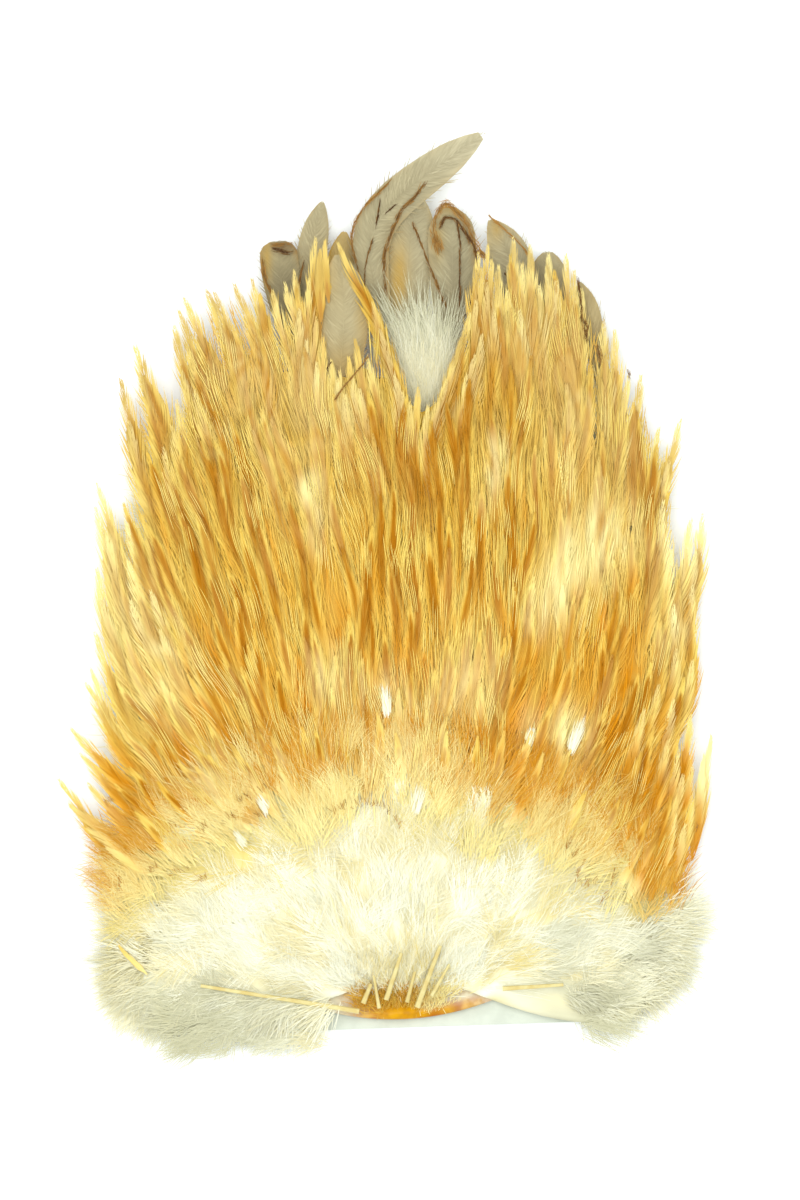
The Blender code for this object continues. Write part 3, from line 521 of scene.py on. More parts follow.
def feathers(shafts, forward, length, vane, outline, paint, seed, barbs, reach, width, camber,
             ragged, sheet, bare, steep, sunk, pointed=True):
    """Feathers: a thin web on both sides of the shaft, and single barbs that lie on it.

    outline(back) is the half width at a distance back from the tip, paint(points, back, out)
    the named shares of colour. The web is sunk below the barbs and takes the share sheet of
    their width. A barb leaves the shaft and runs forward by reach, or by steep times its
    distance from the tip, to the outline; five barbs stick together, so the edge is ragged.
    """
    random = np.random.default_rng(seed)
    count = len(shafts)
    column = np.array((-1.0, -0.62, -0.28, 0, 0.28, 0.62, 1.0))
    bare = np.broadcast_to(bare, count)[:, None]
    ragged = np.broadcast_to(ragged, count)[:, None, None]
    rows = bare + (1 - bare) * np.linspace(0, 1, 14) ** 1.3
    back = np.broadcast_to((vane[:, None] * rows)[..., None], (count, 14, 7))
    ends = smooth(rows, bare - 0.02, bare + 0.2) * (1 - smooth(rows, 0.72, 1.02))
    ends = ends if pointed else np.ones_like(rows)
    wide = outline(back) * ends[..., None]
    out = wide * sheet * column
    grid = place(shafts, forward, length, back, out, camber)
    grid[..., 2] -= sunk
    web = webs(grid, own=np.full((1, 1, 1), 0.35), **paint(grid, back, out))

    shape = (count, 2, barbs)
    start = (np.arange(barbs) + 0.5)[None, None] / barbs * vane[:, None, None]
    start = start + random.uniform(-0.3, 0.3, shape) + 0.6
    group = np.arange(barbs) // 5
    wild = random.normal(0, 1, (count, 2, group.max() + 1))[:, :, group]
    run = np.minimum(reach, steep * start) * random.uniform(0.75, 1.05, shape)
    run = run * (1 + ragged * wild)
    end = start - run
    limit = outline(np.maximum(end, 0)) * (1 + ragged * wild + 0.2 * random.normal(0, 1, shape))
    t = np.array((0.0, 0.14, 0.3, 0.47, 0.65, 0.83, 1.0))
    back = start[..., None] - run[..., None] * (0.75 * t + 0.25 * t**2)
    side = np.array((-1.0, 1.0))[None, :, None, None]
    out = limit[..., None] * (1.15 * t - 0.15 * t**2) * side
    lines = place(shafts, forward, length, back, out, camber)
    lift = 0.015 * random.normal(0, 1, shape) + 0.03 * wild
    lines[..., 2] += lift[..., None] * t + 0.05
    single = random.uniform(0, 1, shape)
    steps = len(t)
    flat = {
        k: np.broadcast_to(v, back.shape).reshape(-1, steps)
        for k, v in paint(lines, back, out).items()
    }
    thin = np.array((0.7, 0.95, 1.0, 1.0, 0.85, 0.6, 0.12)) * (0.7 + 0.6 * single[..., None])
    thin = width * thin * (0.5 + 0.5 * smooth(end, -0.5, 8))[..., None]
    hairs = strips(
        lines.reshape(-1, steps, 3), thin.reshape(-1, steps),
        random.normal(0, 0.08, count * 2 * barbs), own=single.reshape(-1, 1), **flat,
    )
    along = np.linspace(0.999, 0.0, 11)[None] * vane[:, None]
    spine = place(shafts, forward, length, along, np.zeros_like(along), camber)
    spine[..., 2] += 0.10
    thick = 0.03 + 0.08 * along / vane[:, None]
    shaft = strips(
        spine, thick, np.zeros(count), own=np.full((1, 1), 0.5),
        **paint(spine, along, np.zeros_like(along)),
    )
    return joined([web, hairs, shaft])


# Materials: what several finishes share is a node group


def hexa(code):
    """Linear colour of an sRGB hex code."""
    parts = [int(code[i : i + 2], 16) / 255 for i in (1, 3, 5)]
    return tuple(p / 12.92 if p <= 0.04045 else ((p + 0.055) / 1.055) ** 2.4 for p in parts)


def nodes_of(name, roughness, specular):
    """A new material, its node tree and its shader, with the finish's two plain values."""
    made = bpy.data.materials.new(name)
    made.use_nodes = True
    shader = made.node_tree.nodes["Principled BSDF"]
    shader.inputs["Roughness"].default_value = roughness
    shader.inputs["Specular IOR Level"].default_value = specular
    return made, made.node_tree, shader


def give(tree, socket, given):
    """Feed a socket from another socket, a colour or a number."""
    if isinstance(given, bpy.types.NodeSocket):
        tree.links.new(given, socket)
    elif isinstance(given, tuple):
        socket.default_value = (*given[:3], 1.0)
    else:
        socket.default_value = given


def value_of(tree, label):
    """The share that the mesh's points carry under this name."""
    node = tree.nodes.new("ShaderNodeAttribute")
    node.attribute_name = label
    return node.outputs["Fac"]


def mixed(tree, share, first, second):
    """The colour first * (1 - share) + second * share."""
    node = tree.nodes.new("ShaderNodeMix")
    node.data_type = "RGBA"
    for socket, given in ((node.inputs[0], share), (node.inputs[6], first), (node.inputs[7], second)):
        give(tree, socket, given)
    return node.outputs[2]


def ranged(tree, value, low, high, most):
    """A share from 0 where value is low to most where it is high, eased at both."""
    node = tree.nodes.new("ShaderNodeMapRange")
    node.interpolation_type = "SMOOTHSTEP"
    for label, given in (("Value", value), ("From Min", low), ("From Max", high), ("To Max", most)):
        give(tree, node.inputs[label], given)
    return node.outputs["Result"]


def noise(tree, scale, detail):
    """Noise from 0 to 1 on Object coordinates."""
    point = tree.nodes.new("ShaderNodeTexCoord")
    node = tree.nodes.new("ShaderNodeTexNoise")
    give(tree, node.inputs["Scale"], scale)
    give(tree, node.inputs["Detail"], detail)
    tree.links.new(point.outputs["Object"], node.inputs["Vector"])
    return node.outputs["Fac"]


def new_group(name, colours, numbers, outputs):
    """A node group with named colour and number inputs: it, its inputs and its end node."""
    tree = bpy.data.node_groups.new(name, "ShaderNodeTree")
    for label in colours:
        tree.interface.new_socket(label, in_out="INPUT", socket_type="NodeSocketColor")
    for label in numbers:
        tree.interface.new_socket(label, in_out="INPUT", socket_type="NodeSocketFloat")
    for label, kind in outputs:
        tree.interface.new_socket(label, in_out="OUTPUT", socket_type=kind)
    return tree, tree.nodes.new("NodeGroupInput").outputs, tree.nodes.new("NodeGroupOutput").inputs


def mottle_group():
    """Mottle: the share ranged(noise, Low, High, Most) of Second over First, with a fine bump.

    Bump is the height in metres of finer noise, at less than half strength.
    """
    tree, given, result = new_group(
        "Mottle", ("First", "Second"),
        ("Scale", "Detail", "Low", "High", "Most", "Fine scale", "Bump"),
        (("Colour", "NodeSocketColor"), ("Normal", "NodeSocketVector")),
    )
    share = ranged(
        tree, noise(tree, given["Scale"], given["Detail"]), given["Low"], given["High"], given["Most"],
    )
    tree.links.new(mixed(tree, share, given["First"], given["Second"]), result["Colour"])
    bump = tree.nodes.new("ShaderNodeBump")
    bump.inputs["Strength"].default_value = 0.4
    tree.links.new(given["Bump"], bump.inputs["Distance"])
    tree.links.new(noise(tree, given["Fine scale"], 3.0), bump.inputs["Height"])
    tree.links.new(bump.outputs["Normal"], result["Normal"])
    return tree


def barb_group():
    """Barb shades: each colour in turn lies over the last by the share that the points carry."""
    layers = ("light", "orange", "deep", "cream", "dusk")
    tree, given, result = new_group(
        "Barb shades", ("Ground", *layers, "Single barb"), (), (("Colour", "NodeSocketColor"),),
    )
    colour = given["Ground"]
    for label in layers:
        colour = mixed(tree, value_of(tree, label), colour, given[label])
    single = ranged(tree, value_of(tree, "own"), 0.7, 1.0, 0.12)
    tree.links.new(mixed(tree, single, colour, given["Single barb"]), result["Colour"])
    return tree


def placed(tree, group, values):
    """A node group in a material, with the material's own values: its outputs."""
    node = tree.nodes.new("ShaderNodeGroup")
    node.node_tree = group
    for label, given in values.items():
        give(tree, node.inputs[label], given)
    return node.outputs


def mottled(
    tree, group, first, second, scale, detail=3.0, low=0.35, high=0.65, most=1.0, fine=900.0,
    bump=0.0001,
):
    """Mottle with these values: its outputs Colour and Normal."""
    return placed(tree, group, {
        "First": first, "Second": second, "Scale": scale, "Detail": detail, "Low": low, "High": high,
        "Most": most, "Fine scale": fine, "Bump": bump,
    })


def feather_material(name, mottle, shades, base, light, orange, deep, cream, dusk, single):
    """Barbs: a mottled ground, shares of five other colours, and single barbs that are brighter."""
    made, tree, shader = nodes_of(name, 0.6, 0.06)
    ground = mottled(tree, mottle, base, light, 90.0, detail=2.0, most=0.25)["Colour"]
    colour = placed(tree, shades, {
        "Ground": ground, "light": light, "orange": orange, "deep": deep, "cream": cream,
        "dusk": dusk, "Single barb": single,
    })["Colour"]
    tree.links.new(colour, shader.inputs["Base Color"])
    return made


def down_material(bright, warm, grey):
    """Down: near white, with warm and grey parts."""
    made, tree, shader = nodes_of("Down", 0.9, 0.05)
    # The warm share also holds painted shade, in the furrows between the ridges of down
    colour = mixed(tree, value_of(tree, "warm"), bright, warm)
    colour = mixed(tree, value_of(tree, "grey"), colour, grey)
    tree.links.new(colour, shader.inputs["Base Color"])
    return made


def mark_material(brown, black):
    """Brown margins and bristles, darker by the share dark."""
    made, tree, shader = nodes_of("Brown barbs", 0.7, 0.1)
    colour = mixed(tree, value_of(tree, "dark"), brown, black)
    tree.links.new(colour, shader.inputs["Base Color"])
    return made


def mottled_material(name, mottle, colour, second, scale, roughness, specular):
    """A surface with mottled colour and a fine bump, for the card and the bare quills."""
    made, tree, shader = nodes_of(name, roughness, specular)
    shown = mottled(tree, mottle, colour, second, scale, fine=scale * 6)
    tree.links.new(shown["Colour"], shader.inputs["Base Color"])
    tree.links.new(shown["Normal"], shader.inputs["Normal"])
    return made


def skin_material(mottle):
    """Dried skin: amber and brown at the cut edge, pale beyond it, with brown patches."""
    made, tree, shader = nodes_of("Dried skin", 0.35, 0.12)
    colour = mixed(tree, value_of(tree, "dark"), hexa("#CC9400"), hexa("#A86000"))
    colour = mixed(tree, value_of(tree, "amber"), hexa("#D0CCB4"), colour)
    shown = mottled(
        tree, mottle, colour, hexa("#A87410"), 600.0, low=0.45, high=0.7, most=0.5, bump=0.0003,
    )
    tree.links.new(shown["Colour"], shader.inputs["Base Color"])
    tree.links.new(shown["Normal"], shader.inputs["Normal"])
    return made


# Saddle hackles


def hackle_height(x, y, back):
    """The pile's height less 0.08 a millimetre back from the tip.

    Each feather goes deeper towards its root, so the one whose tip is nearest lies on top.
    """
    return pile(x, y) + 0.1 - 0.08 * back


def inner_tips(seed):
    """Tips over the body: a lattice of 8 by 5.2 mm, every other row shifted, each point moved a little."""
    random = np.random.default_rng(seed)
    rows = np.arange(-60, 68, 5.2)
    columns = np.arange(-62, 66, 8.0)
    x, y = np.meshgrid(columns, rows)
    x = x + 4.0 * (np.arange(len(rows)) % 2)[:, None] + random.normal(0, 1.3, x.shape)
    y = y + random.normal(0, 2.2, y.shape)
    x, y = x.ravel(), y.ravel()
    sparse = random.uniform(0, 1, len(x)) < 0.15 * smooth(y, 0, 25)
    keep = within_edges(x, y, 0) & (y > arch(x) + 10) & ~sparse
    keep &= ~in_gap(x, y, 35, 0.42, 0.5) & ~beside_gap(x, y)
    return x[keep], y[keep]


def streaks(shafts, length, start, long, half, strength, fade):
    """Shares of pointed streaks, and of the strips beside them, on a grid over the plumage.

    A streak lies on its feather's shaft. It begins sharp at the distance start from the tip,
    its half width is half * (1 - exp(-run / 1.5)), and it fades from the share fade of its
    length on. The strip beside it is where the vane is only loose barbs.
    """
    grid = np.zeros((2, FIELD_SIZE, FIELD_SIZE))
    for k in range(len(shafts)):
        spine, reach = shafts[k, :, :2], np.linspace(0, length[k], shafts.shape[1])
        last = start[k] + long[k]
        foot = np.array([np.interp(last, reach, spine[:, a]) for a in (0, 1)])
        way = (spine[0] - foot) / np.linalg.norm(spine[0] - foot)
        low = np.floor((np.minimum(spine[0], foot) - 3 - FIELD_LOW) / FIELD_STEP).astype(int)
        high = np.ceil((np.maximum(spine[0], foot) + 3 - FIELD_LOW) / FIELD_STEP).astype(int)
        low, high = np.clip(low, 0, FIELD_SIZE), np.clip(high, 0, FIELD_SIZE)
        x = FIELD_LOW + FIELD_STEP * np.arange(low[0], high[0])[None]
        y = FIELD_LOW + FIELD_STEP * np.arange(low[1], high[1])[:, None]
        back = (spine[0, 0] - x) * way[0] + (spine[0, 1] - y) * way[1]
        out = (x - np.interp(back, reach, spine[:, 0])) * way[1]
        out = np.abs(out - (y - np.interp(back, reach, spine[:, 1])) * way[0])
        run = back - start[k]
        s = run / long[k]
        wide = half[k] * (1 - np.exp(-np.maximum(run, 0) / 1.5)) + 0.05
        body = smooth(run, -0.2, 0.5) * (1 - smooth(out / wide, 0.45, 1.35))
        body = body * strength[k] * (1 - smooth(s, fade, 1.1))
        side = np.exp(-(((out - wide - 0.6) / 0.4) ** 2))
        side = side * smooth(back, 0.5, 3) * (1 - smooth(s, 0.3, 0.9))
        window = grid[:, low[1] : high[1], low[0] : high[0]]
        window[...] = np.maximum(window, np.stack((body, side)))
    return grid


def colour_field(shafts, length, start, long, half, strength):
    """Shares of dark, tan, light, orange and cream in plan, for every barb at that place.

    Dark cores lie on the upper feathers; tan, orange and light streaks belong to the feathers
    below and run the same way. The ground is lighter in patches drawn out along the feathers.
    Towards the top the light share falls and the tan share rises in such patches: painted shade.
    """
    random = np.random.default_rng(61)
    dark, side = streaks(shafts, length, start, long, half, strength, 0.45)
    layers = []
    for number, size, faint in ((240, 0.9, 0.4), (380, 0.9, 0.5), (330, 0.8, 0.6)):
        x, y = random.uniform(-64, 66, number), random.uniform(-62, 66, number)
        size = random.uniform(0.5, 1.3, number) * size
        reach = random.uniform(9, 19, number)
        turn = random.normal(0, 4, number)
        line, _ = trace_shafts(np.stack((x, y), -1), turn, reach + 3, hackle_height, 9)
        shade = random.uniform(0.3, 1.0, number)
        layers.append(streaks(line, reach + 3, 0 * x, reach, size, shade, faint)[0])
    tan_and_shade, orange, light = layers
    axis = FIELD_LOW + FIELD_STEP * np.arange(FIELD_SIZE)
    x, y = np.meshgrid(axis, axis)
    across, along = with_flow(x, y)
    patch = 0.5 + 0.5 * waves(across, along / 2.5, 8, 41)
    warm = np.clip(0.2 + waves(across, along / 2.0, 10, 43), 0, 1) * smooth(-y, -30, 30)
    rough = 1 + 0.5 * waves(across, along / 3.5, 3.5, 44)
    warm = 0.5 * warm + 0.95 * spots(x.ravel(), y.ravel(), ORANGE_SPOTS).reshape(x.shape) * rough
    cream = spots(x.ravel(), y.ravel(), PALE_SPOTS).reshape(x.shape)
    past = y - arch(x)
    cream = cream + 0.3 * (1 - smooth(past, 3, 15)) * np.clip(0.6 + waves(x, y, 12, 45), 0, 1.4)
    cream = cream * (1 - 0.7 * np.clip(warm, 0, 1))
    cream = np.clip(np.maximum(cream * rough, 0.9 - smooth(past, -5, 4)), 0, 0.95)
    cream = cream * (1 - 0.8 * golden_band(x, y))
    dark = dark * smooth(past, 0, 9)
    # Painted shade over the upper plumage: from y = 0 to 45 the light share falls by up to 0.2, and the tan
    # share rises by 0.2 to 0.6 in patches drawn out along the feathers (shade). The light share also rises
    # by up to 0.2 from y = 20 down to y = -40
    top = smooth(y, 0, 45)
    light = 0.12 + 0.5 * (patch - 0.3) + 0.35 * light + 0.5 * side + 0.2 * smooth(-y, -20, 40) - 0.2 * top
    light = np.clip(light, 0, 1)
    orange = np.clip(0.5 * orange + warm, 0, 1) * (1 - 0.5 * side)
    shade = smooth(waves(across, along / 2.5, 6, 47), 0.05, 0.6)
    tan_and_shade = np.clip(0.35 * tan_and_shade * (1 - light) + (0.2 + 0.4 * shade) * top, 0, 1) * (1 - 0.8 * dark)
    return np.stack((dark, tan_and_shade, light * (1 - 0.7 * dark), orange, cream))


def read_field(field, x, y):
    """The field's shares at x, y, between grid points on straight lines."""
    u = np.clip((x - FIELD_LOW) / FIELD_STEP, 0, FIELD_SIZE - 1.001)
    v = np.clip((y - FIELD_LOW) / FIELD_STEP, 0, FIELD_SIZE - 1.001)
    i, j = u.astype(int), v.astype(int)
    a, b = u - i, v - j
    low = field[:, j, i] * (1 - a) + field[:, j, i + 1] * a
    high = field[:, j + 1, i] * (1 - a) + field[:, j + 1, i + 1] * a
    return low * (1 - b) + high * b


def make_hackles(finish):
    """The saddle feathers in four pieces, from the arch to the tail; returns their colour field.

    Half width of a vane: half * (1 - exp(-((back + 0.5) / slim)^1.2)) at back from the tip.
    """
    random = np.random.default_rng(11)
    x, y = inner_tips(5)
    edge = np.array(EDGE_TIPS)
    inner = len(x)
    own = edge[:, 2] - flow(edge[:, 0], edge[:, 1])
    x, y = np.concatenate((x, edge[:, 0])), np.concatenate((y, edge[:, 1]))
    count = len(x)
    loose = np.arange(count) >= inner
    turn = np.concatenate((random.normal(0, 4.0, inner), own))
    length = np.concatenate((random.uniform(34, 44, inner), edge[:, 3]))
    half = np.concatenate((random.uniform(2.5, 3.6, inner), 1.05 * edge[:, 4]))
    length = np.minimum(length, np.maximum(y - arch(x) + np.where(loose, 1, 3), 9))
    paleness = np.concatenate((np.zeros(inner), edge[:, 5]))
    pale_tip, pale_rim = loose * (0.35 + paleness), loose * np.clip(2.2 * paleness - 0.3, 0, 1)
    tone = random.normal(0.0, 0.07, count)
    own_pale = random.normal(0.0, 0.05, count)
    pale = np.clip(spots(x, y, PALE_SPOTS), 0, 0.95)
    core = np.clip(random.normal(1.05, 0.15, count), 0.6, 1.0) * (1 - 0.6 * pale)
    core = core * (1 - loose * np.clip(0.05 + 0.6 * smooth(-y, 0, 25) + 0.6 * pale, 0, 1))
    late = random.uniform(1.5, 5.0, count) + 3.5 * loose
    core_long = random.uniform(10, 18, count) + 8 * smooth(y, -5, 25)
    core_half = random.uniform(0.42, 0.88, count)
    shafts, forward = trace_shafts(np.stack((x, y), -1), turn, length, hackle_height)
    vane = np.where(loose, np.minimum(length, 32.0), np.minimum(length, 24.0))
    field = colour_field(shafts, length, late, core_long, core_half, core)
    order = np.argsort(y)
    for number, part in enumerate(np.array_split(order, 4), 1):

        def outline(back):
            """Half width of these feathers at a distance back from the tip."""
            slim = per_row(12.0 - 3.5 * loose[part], back)
            return per_row(half[part], back) * (1 - np.exp(-((back + 0.5) / slim) ** 1.2)) + 0.1

        def paint(points, back, out):
            """The field's shares, with paler tips and rims on the loose feathers."""
            dark, tan_and_shade, light, orange, cream = read_field(field, points[..., 0], points[..., 1])
            wisp = per_row(pale_tip[part], back) * (1 - smooth(back, 0, 13))
            rim = per_row(pale_rim[part], back) * smooth(np.abs(out), 0.4, 1.9)
            rim = rim * (1 - smooth(back, 10, 26))
            orange = np.clip(per_row(tone[part], back) + orange, 0, 1)
            cream = cream + per_row(own_pale[part], back) + 0.8 * wisp + 0.4 * rim
            return {
                "deep": dark, "orange": orange * (0.4 + 0.6 * smooth(back, 2, 8)),
                "light": np.maximum(light, np.minimum(wisp + 0.5 * rim, 1)),
                "cream": np.clip(cream, 0, 1), "dusk": tan_and_shade,
            }

        made = feathers(
            shafts[part], forward[part], length[part], vane[part], outline, paint, seed=20 + number,
            barbs=48, reach=10.0, width=0.11, camber=0.18, ragged=0.10 + 0.05 * loose[part],
            sheet=0.72, bare=0.05 + 0.15 * loose[part], steep=0.82, sunk=0.28,
        )
        new_piece(f"saddle_feathers_{number}", made, finish, ("saddle_hackles",))
    return field


def make_loose_hairs(finish):
    """Bundles of bright parallel barbs that lie over several feathers."""
    random = np.random.default_rng(17)
    x, y = random.uniform(-60, 64, 260), random.uniform(-62, 64, 260)
    keep = within_edges(x, y, 1) & (y > arch(x) + 4)
    keep &= ~in_gap(x, y, 33, 0.42, 2.5) & ~beside_gap(x, y - 3)
    x, y = x[keep], y[keep]
    count, each = len(x), 8
    turn = random.normal(0, 9, count)
    lean = np.radians(flow(x, y) + turn)
    across = (np.arange(each) - 3.5) * random.uniform(0.28, 0.5, (count, 1))
    across = across + random.normal(0, 0.06, (count, each))
    along = random.normal(0, 1.2, (count, each)) + 0.8 * across * random.normal(0, 1, (count, 1))
    px = x[:, None] + np.cos(lean)[:, None] * across + np.sin(lean)[:, None] * along
    py = y[:, None] - np.sin(lean)[:, None] * across + np.cos(lean)[:, None] * along
    length = (random.uniform(5, 9, (count, 1)) * random.uniform(0.7, 1.1, (count, each))).ravel()
    lines, _ = trace_shafts(
        np.stack((px.ravel(), py.ravel()), -1), np.repeat(turn, each), length,
        lambda ax, ay, back: pile(ax, ay) + 0.16 - 0.03 * back, 6,
    )
    lines = lines[:, ::-1]
    lines[..., 2] += random.uniform(-0.06, 0.06, (count * each, 1))
    thin = 0.05 * np.array((0.3, 0.9, 1, 1, 0.8, 0.15)) * random.uniform(0.6, 1.2, (len(lines), 1))
    pale = np.clip(spots(x, y, PALE_SPOTS) + random.normal(0.1, 0.15, count), 0, 1)
    made = strips(
        lines, thin, random.normal(0, 0.12, len(lines)),
        own=np.ones((1, 1)), light=np.ones((1, 1)), deep=np.zeros((1, 1)),
        orange=np.zeros((1, 1)), cream=np.repeat(pale, each)[:, None], dusk=np.zeros((1, 1)),
    )
    new_piece("loose_barbs", made, finish, ("saddle_hackles",))


def make_under_barbs(finish, field):
    """Barbs of the lower feathers, which fill the openings between the upper ones."""
    random = np.random.default_rng(19)
    x, y = random.uniform(-58, 62, 9000), random.uniform(-60, 60, 9000)
    keep = within_edges(x, y, 1) & (y > arch(x) + 2)
    keep &= ~in_gap(x, y, 34, 0.4, 1.5, middle=8.0) & ~beside_gap(x, y)
    x, y = x[keep], y[keep]
    count = len(x)
    turn = random.normal(0, 7, count)
    lines, _ = trace_shafts(
        np.stack((x, y), -1), turn, random.uniform(6, 10, count),
        lambda ax, ay, back: pile(ax, ay) - 0.75 - 0.03 * back, 6,
    )
    lines = lines[:, ::-1]
    lines[..., 2] += random.uniform(-0.3, 0.3, (count, 1))
    dark, tan_and_shade, light, orange, pale = read_field(field, lines[..., 0], lines[..., 1])
    made = strips(
        lines, 0.085 * np.array((0.5, 1, 1, 1, 0.8, 0.15)) * random.uniform(0.7, 1.2, (count, 1)),
        random.normal(0, 0.12, count), own=random.uniform(0, 1, (count, 1)),
        light=light, deep=dark, orange=np.clip(0.2 * random.uniform(0, 1, (count, 1)) + orange, 0, 1),
        cream=pale, dusk=tan_and_shade,
    )
    new_piece("lower_barbs", made, finish, ("saddle_hackles",))


def make_mat(finish, field):
    """The dense lower feathers, as one closed sheet under the loose ones.

    u runs across from edge to edge and v from the arch to the tail, where the far edge has two
    bays and its corners are round. The sheet lies 2.2 under the pile, in ridges along the flow.
    """
    u, v = np.meshgrid(np.linspace(-1, 1, 81), np.linspace(0, 1, 61))
    y_middle = ARCH_Y + 4 + (44 - ARCH_Y) * v
    narrow = np.where(u < 0, 8.5 + 6.5 * v**2, 6.0 + 4.5 * v**2) - 1.2 * waves(y_middle, 9 * u, 7, 8)
    x = MIDDLE_X + (half_at(y_middle) - narrow) * u
    y = arch(x) + 4 + (40 - arch(x)) * v
    y = y - 9.0 * v**4 * np.exp(-(((x - 8.0) / 6.0) ** 2)) - 9.0 * v**3 * np.abs(u) ** 6
    y = y - 2.5 * v**4 * np.exp(-(((x + 9.0) / 6.0) ** 2)) + 1.2 * v**6 * waves(x, 0 * x, 6, 10)
    z = pile(x, y) - 2.2 + 0.25 * np.sin(with_flow(x, y)[0] * 2.4 + 2 * waves(x, y, 20, 9))
    top = np.stack((x, y, z), -1)
    low = np.stack((x, y, z - 1.5), -1)
    dark, tan_and_shade, light, orange, cream = read_field(field, x, y)
    made = closed_sheet(
        top, low, deep=dark, orange=orange, light=light, cream=cream, dusk=tan_and_shade,
        own=np.full_like(x, 0.2),
    )
    new_piece("feather_mat", made, finish, ("saddle_hackles",))


# Down


def tufts(x, y, lean, spread, length, strands, height, rise, width, seed, **values):
    """Tufts of soft strands that leave x, y in the direction lean (degrees from +Y).

    The strands of a tuft stay nearly parallel and share one bend. height(x, y) is the
    surface that they lie on, rise how far a strand can stand off it.
    """
    random = np.random.default_rng(seed)
    count = len(x)
    shape = (count, strands)
    t = np.linspace(0, 1, 5)
    bend = random.normal(0, 20, (count, 1, 1)) + random.normal(0, 9, shape + (1,))
    angle = lean[:, None, None] + spread * random.normal(0, 1, shape + (1,)) + bend * t**1.3
    angle = np.radians(angle)
    long = length[:, None, None] * random.uniform(0.55, 1.15, shape + (1,))
    step = long / 4
    side = random.normal(0, 1.0, shape)
    first = random.normal(0, 1.0, shape)
    px = x[:, None, None] + side[..., None] + np.cumsum(np.sin(angle) * step, -1)
    py = y[:, None, None] + first[..., None] + np.cumsum(np.cos(angle) * step, -1)
    up = random.uniform(0, 1, shape)[..., None] * rise * np.sin(t * 2.4)
    z = np.maximum(height(px, py) + up, 0.4)
    lines = np.stack((px, py, z), -1).reshape(-1, 5, 3)
    thin = width * np.array((0.8, 1.0, 0.85, 0.6, 0.2)) * random.uniform(0.7, 1.3, shape + (1,))
    given = {}
    for label, data in values.items():
        each = data[:, None, None] + 0.1 * random.normal(0, 1, shape + (1,)) + 0 * t
        given[label] = np.clip(each, 0, 1).reshape(-1, 5)
    return strips(lines, thin.reshape(-1, 5), random.normal(0, 0.15, len(lines)), **given)


def fans(x, y):
    """Noise from -1 to 1 in ridges that fan out from the bare quills."""
    reach = np.hypot(x - FAN_X, y - FAN_Y)
    turn = np.arctan2(x - FAN_X, y - FAN_Y)
    return waves(turn * 26 + waves(x, y, 14, 51) * 2, reach / 3, 8, 52)


def down_height(x, y):
    """The down's surface: the pile less 1.6, and lower under the feathers, with lumps and ridges."""
    z = pile(x, y) - 1.6 - 2.6 * smooth(y - arch(x), 2, 12)
    return z + 0.5 * waves(x, y, 16, 2) + 0.3 * waves(x, y, 7, 4) + 0.7 * fans(x, y)


def greyness(x, y):
    """How grey the down is: towards the lower left and the right."""
    left = smooth(-x, 8, 32) * smooth(-y, 75, 88) * (1 - 0.7 * smooth(-x, 42, 52) * smooth(y, -90, -80))
    right = smooth(x, 20, 42) * smooth(-y, 54, 74) * (1 - 0.9 * smooth(x, 46, 57))
    right = right * np.clip(0.9 + 1.6 * fans(x, y), 0, 1.8)
    middle = 0.25 * smooth(-y, 76, 88)
    spot = 0.4 * np.clip(waves(x, y, 11, 27), 0, 1)
    spot = spot * (0.4 + 0.6 * smooth(np.abs(x - FAN_X), 15, 40))
    under = smooth(arch(x) - y, -2, 14)
    return np.clip(0.75 * left + 0.52 * right * under + middle + spot, 0, 1)


def warm_arch(x, y, start):
    """How far the down takes the feathers' gold near the arch; it stays cream in the middle."""
    cream = np.exp(-(((x + 4) / 9) ** 2))
    return 0.7 * smooth(y - arch(x), start, start + 12) * (1 - 0.85 * cream)


def make_cushion(finish):
    """The lumpy body of the down: a closed sheet that falls to its low rim at the sides."""
    rows = np.concatenate((np.linspace(-88, -34, 42), np.linspace(-31, 28, 15)))
    u, y = np.meshgrid(np.linspace(-1, 1, 101), rows)
    v = np.clip((y + 88) / 62, 0, 1)
    x = MIDDLE_X + half_at(y) * (0.99 - 0.11 * v - 0.03 * smooth(y, -26, 28)) * u
    y = y + 9.5 * np.maximum(0, 1 - 4 * v) * np.exp(-(((x - 5) / 21) ** 2))
    full = (1 - smooth(np.abs(u), 0.8, 1.0) * (1 - 0.8 * v)) * (1 - 0.5 * smooth(y, 14, 28))
    z = 2.6 + (np.maximum(down_height(x, y) - 0.3, 2.8) - 2.6) * full
    top, low = np.stack((x, y, z), -1), np.stack((x, y, np.full_like(z, CUSHION_LOW)), -1)
    # The term -0.3 * fans makes the furrows between the ridges of down warmer: painted shade. The rest is
    # the down's own tint and the gold near the arch
    warm = 0.3 + 0.15 * waves(x, y, 18, 6) - 0.3 * fans(x, y) + warm_arch(x, y, -14)
    cushion = closed_sheet(top, low, grey=greyness(x, y), warm=np.clip(warm, 0, 1))
    new_piece("down_cushion", cushion, finish, ("down",))


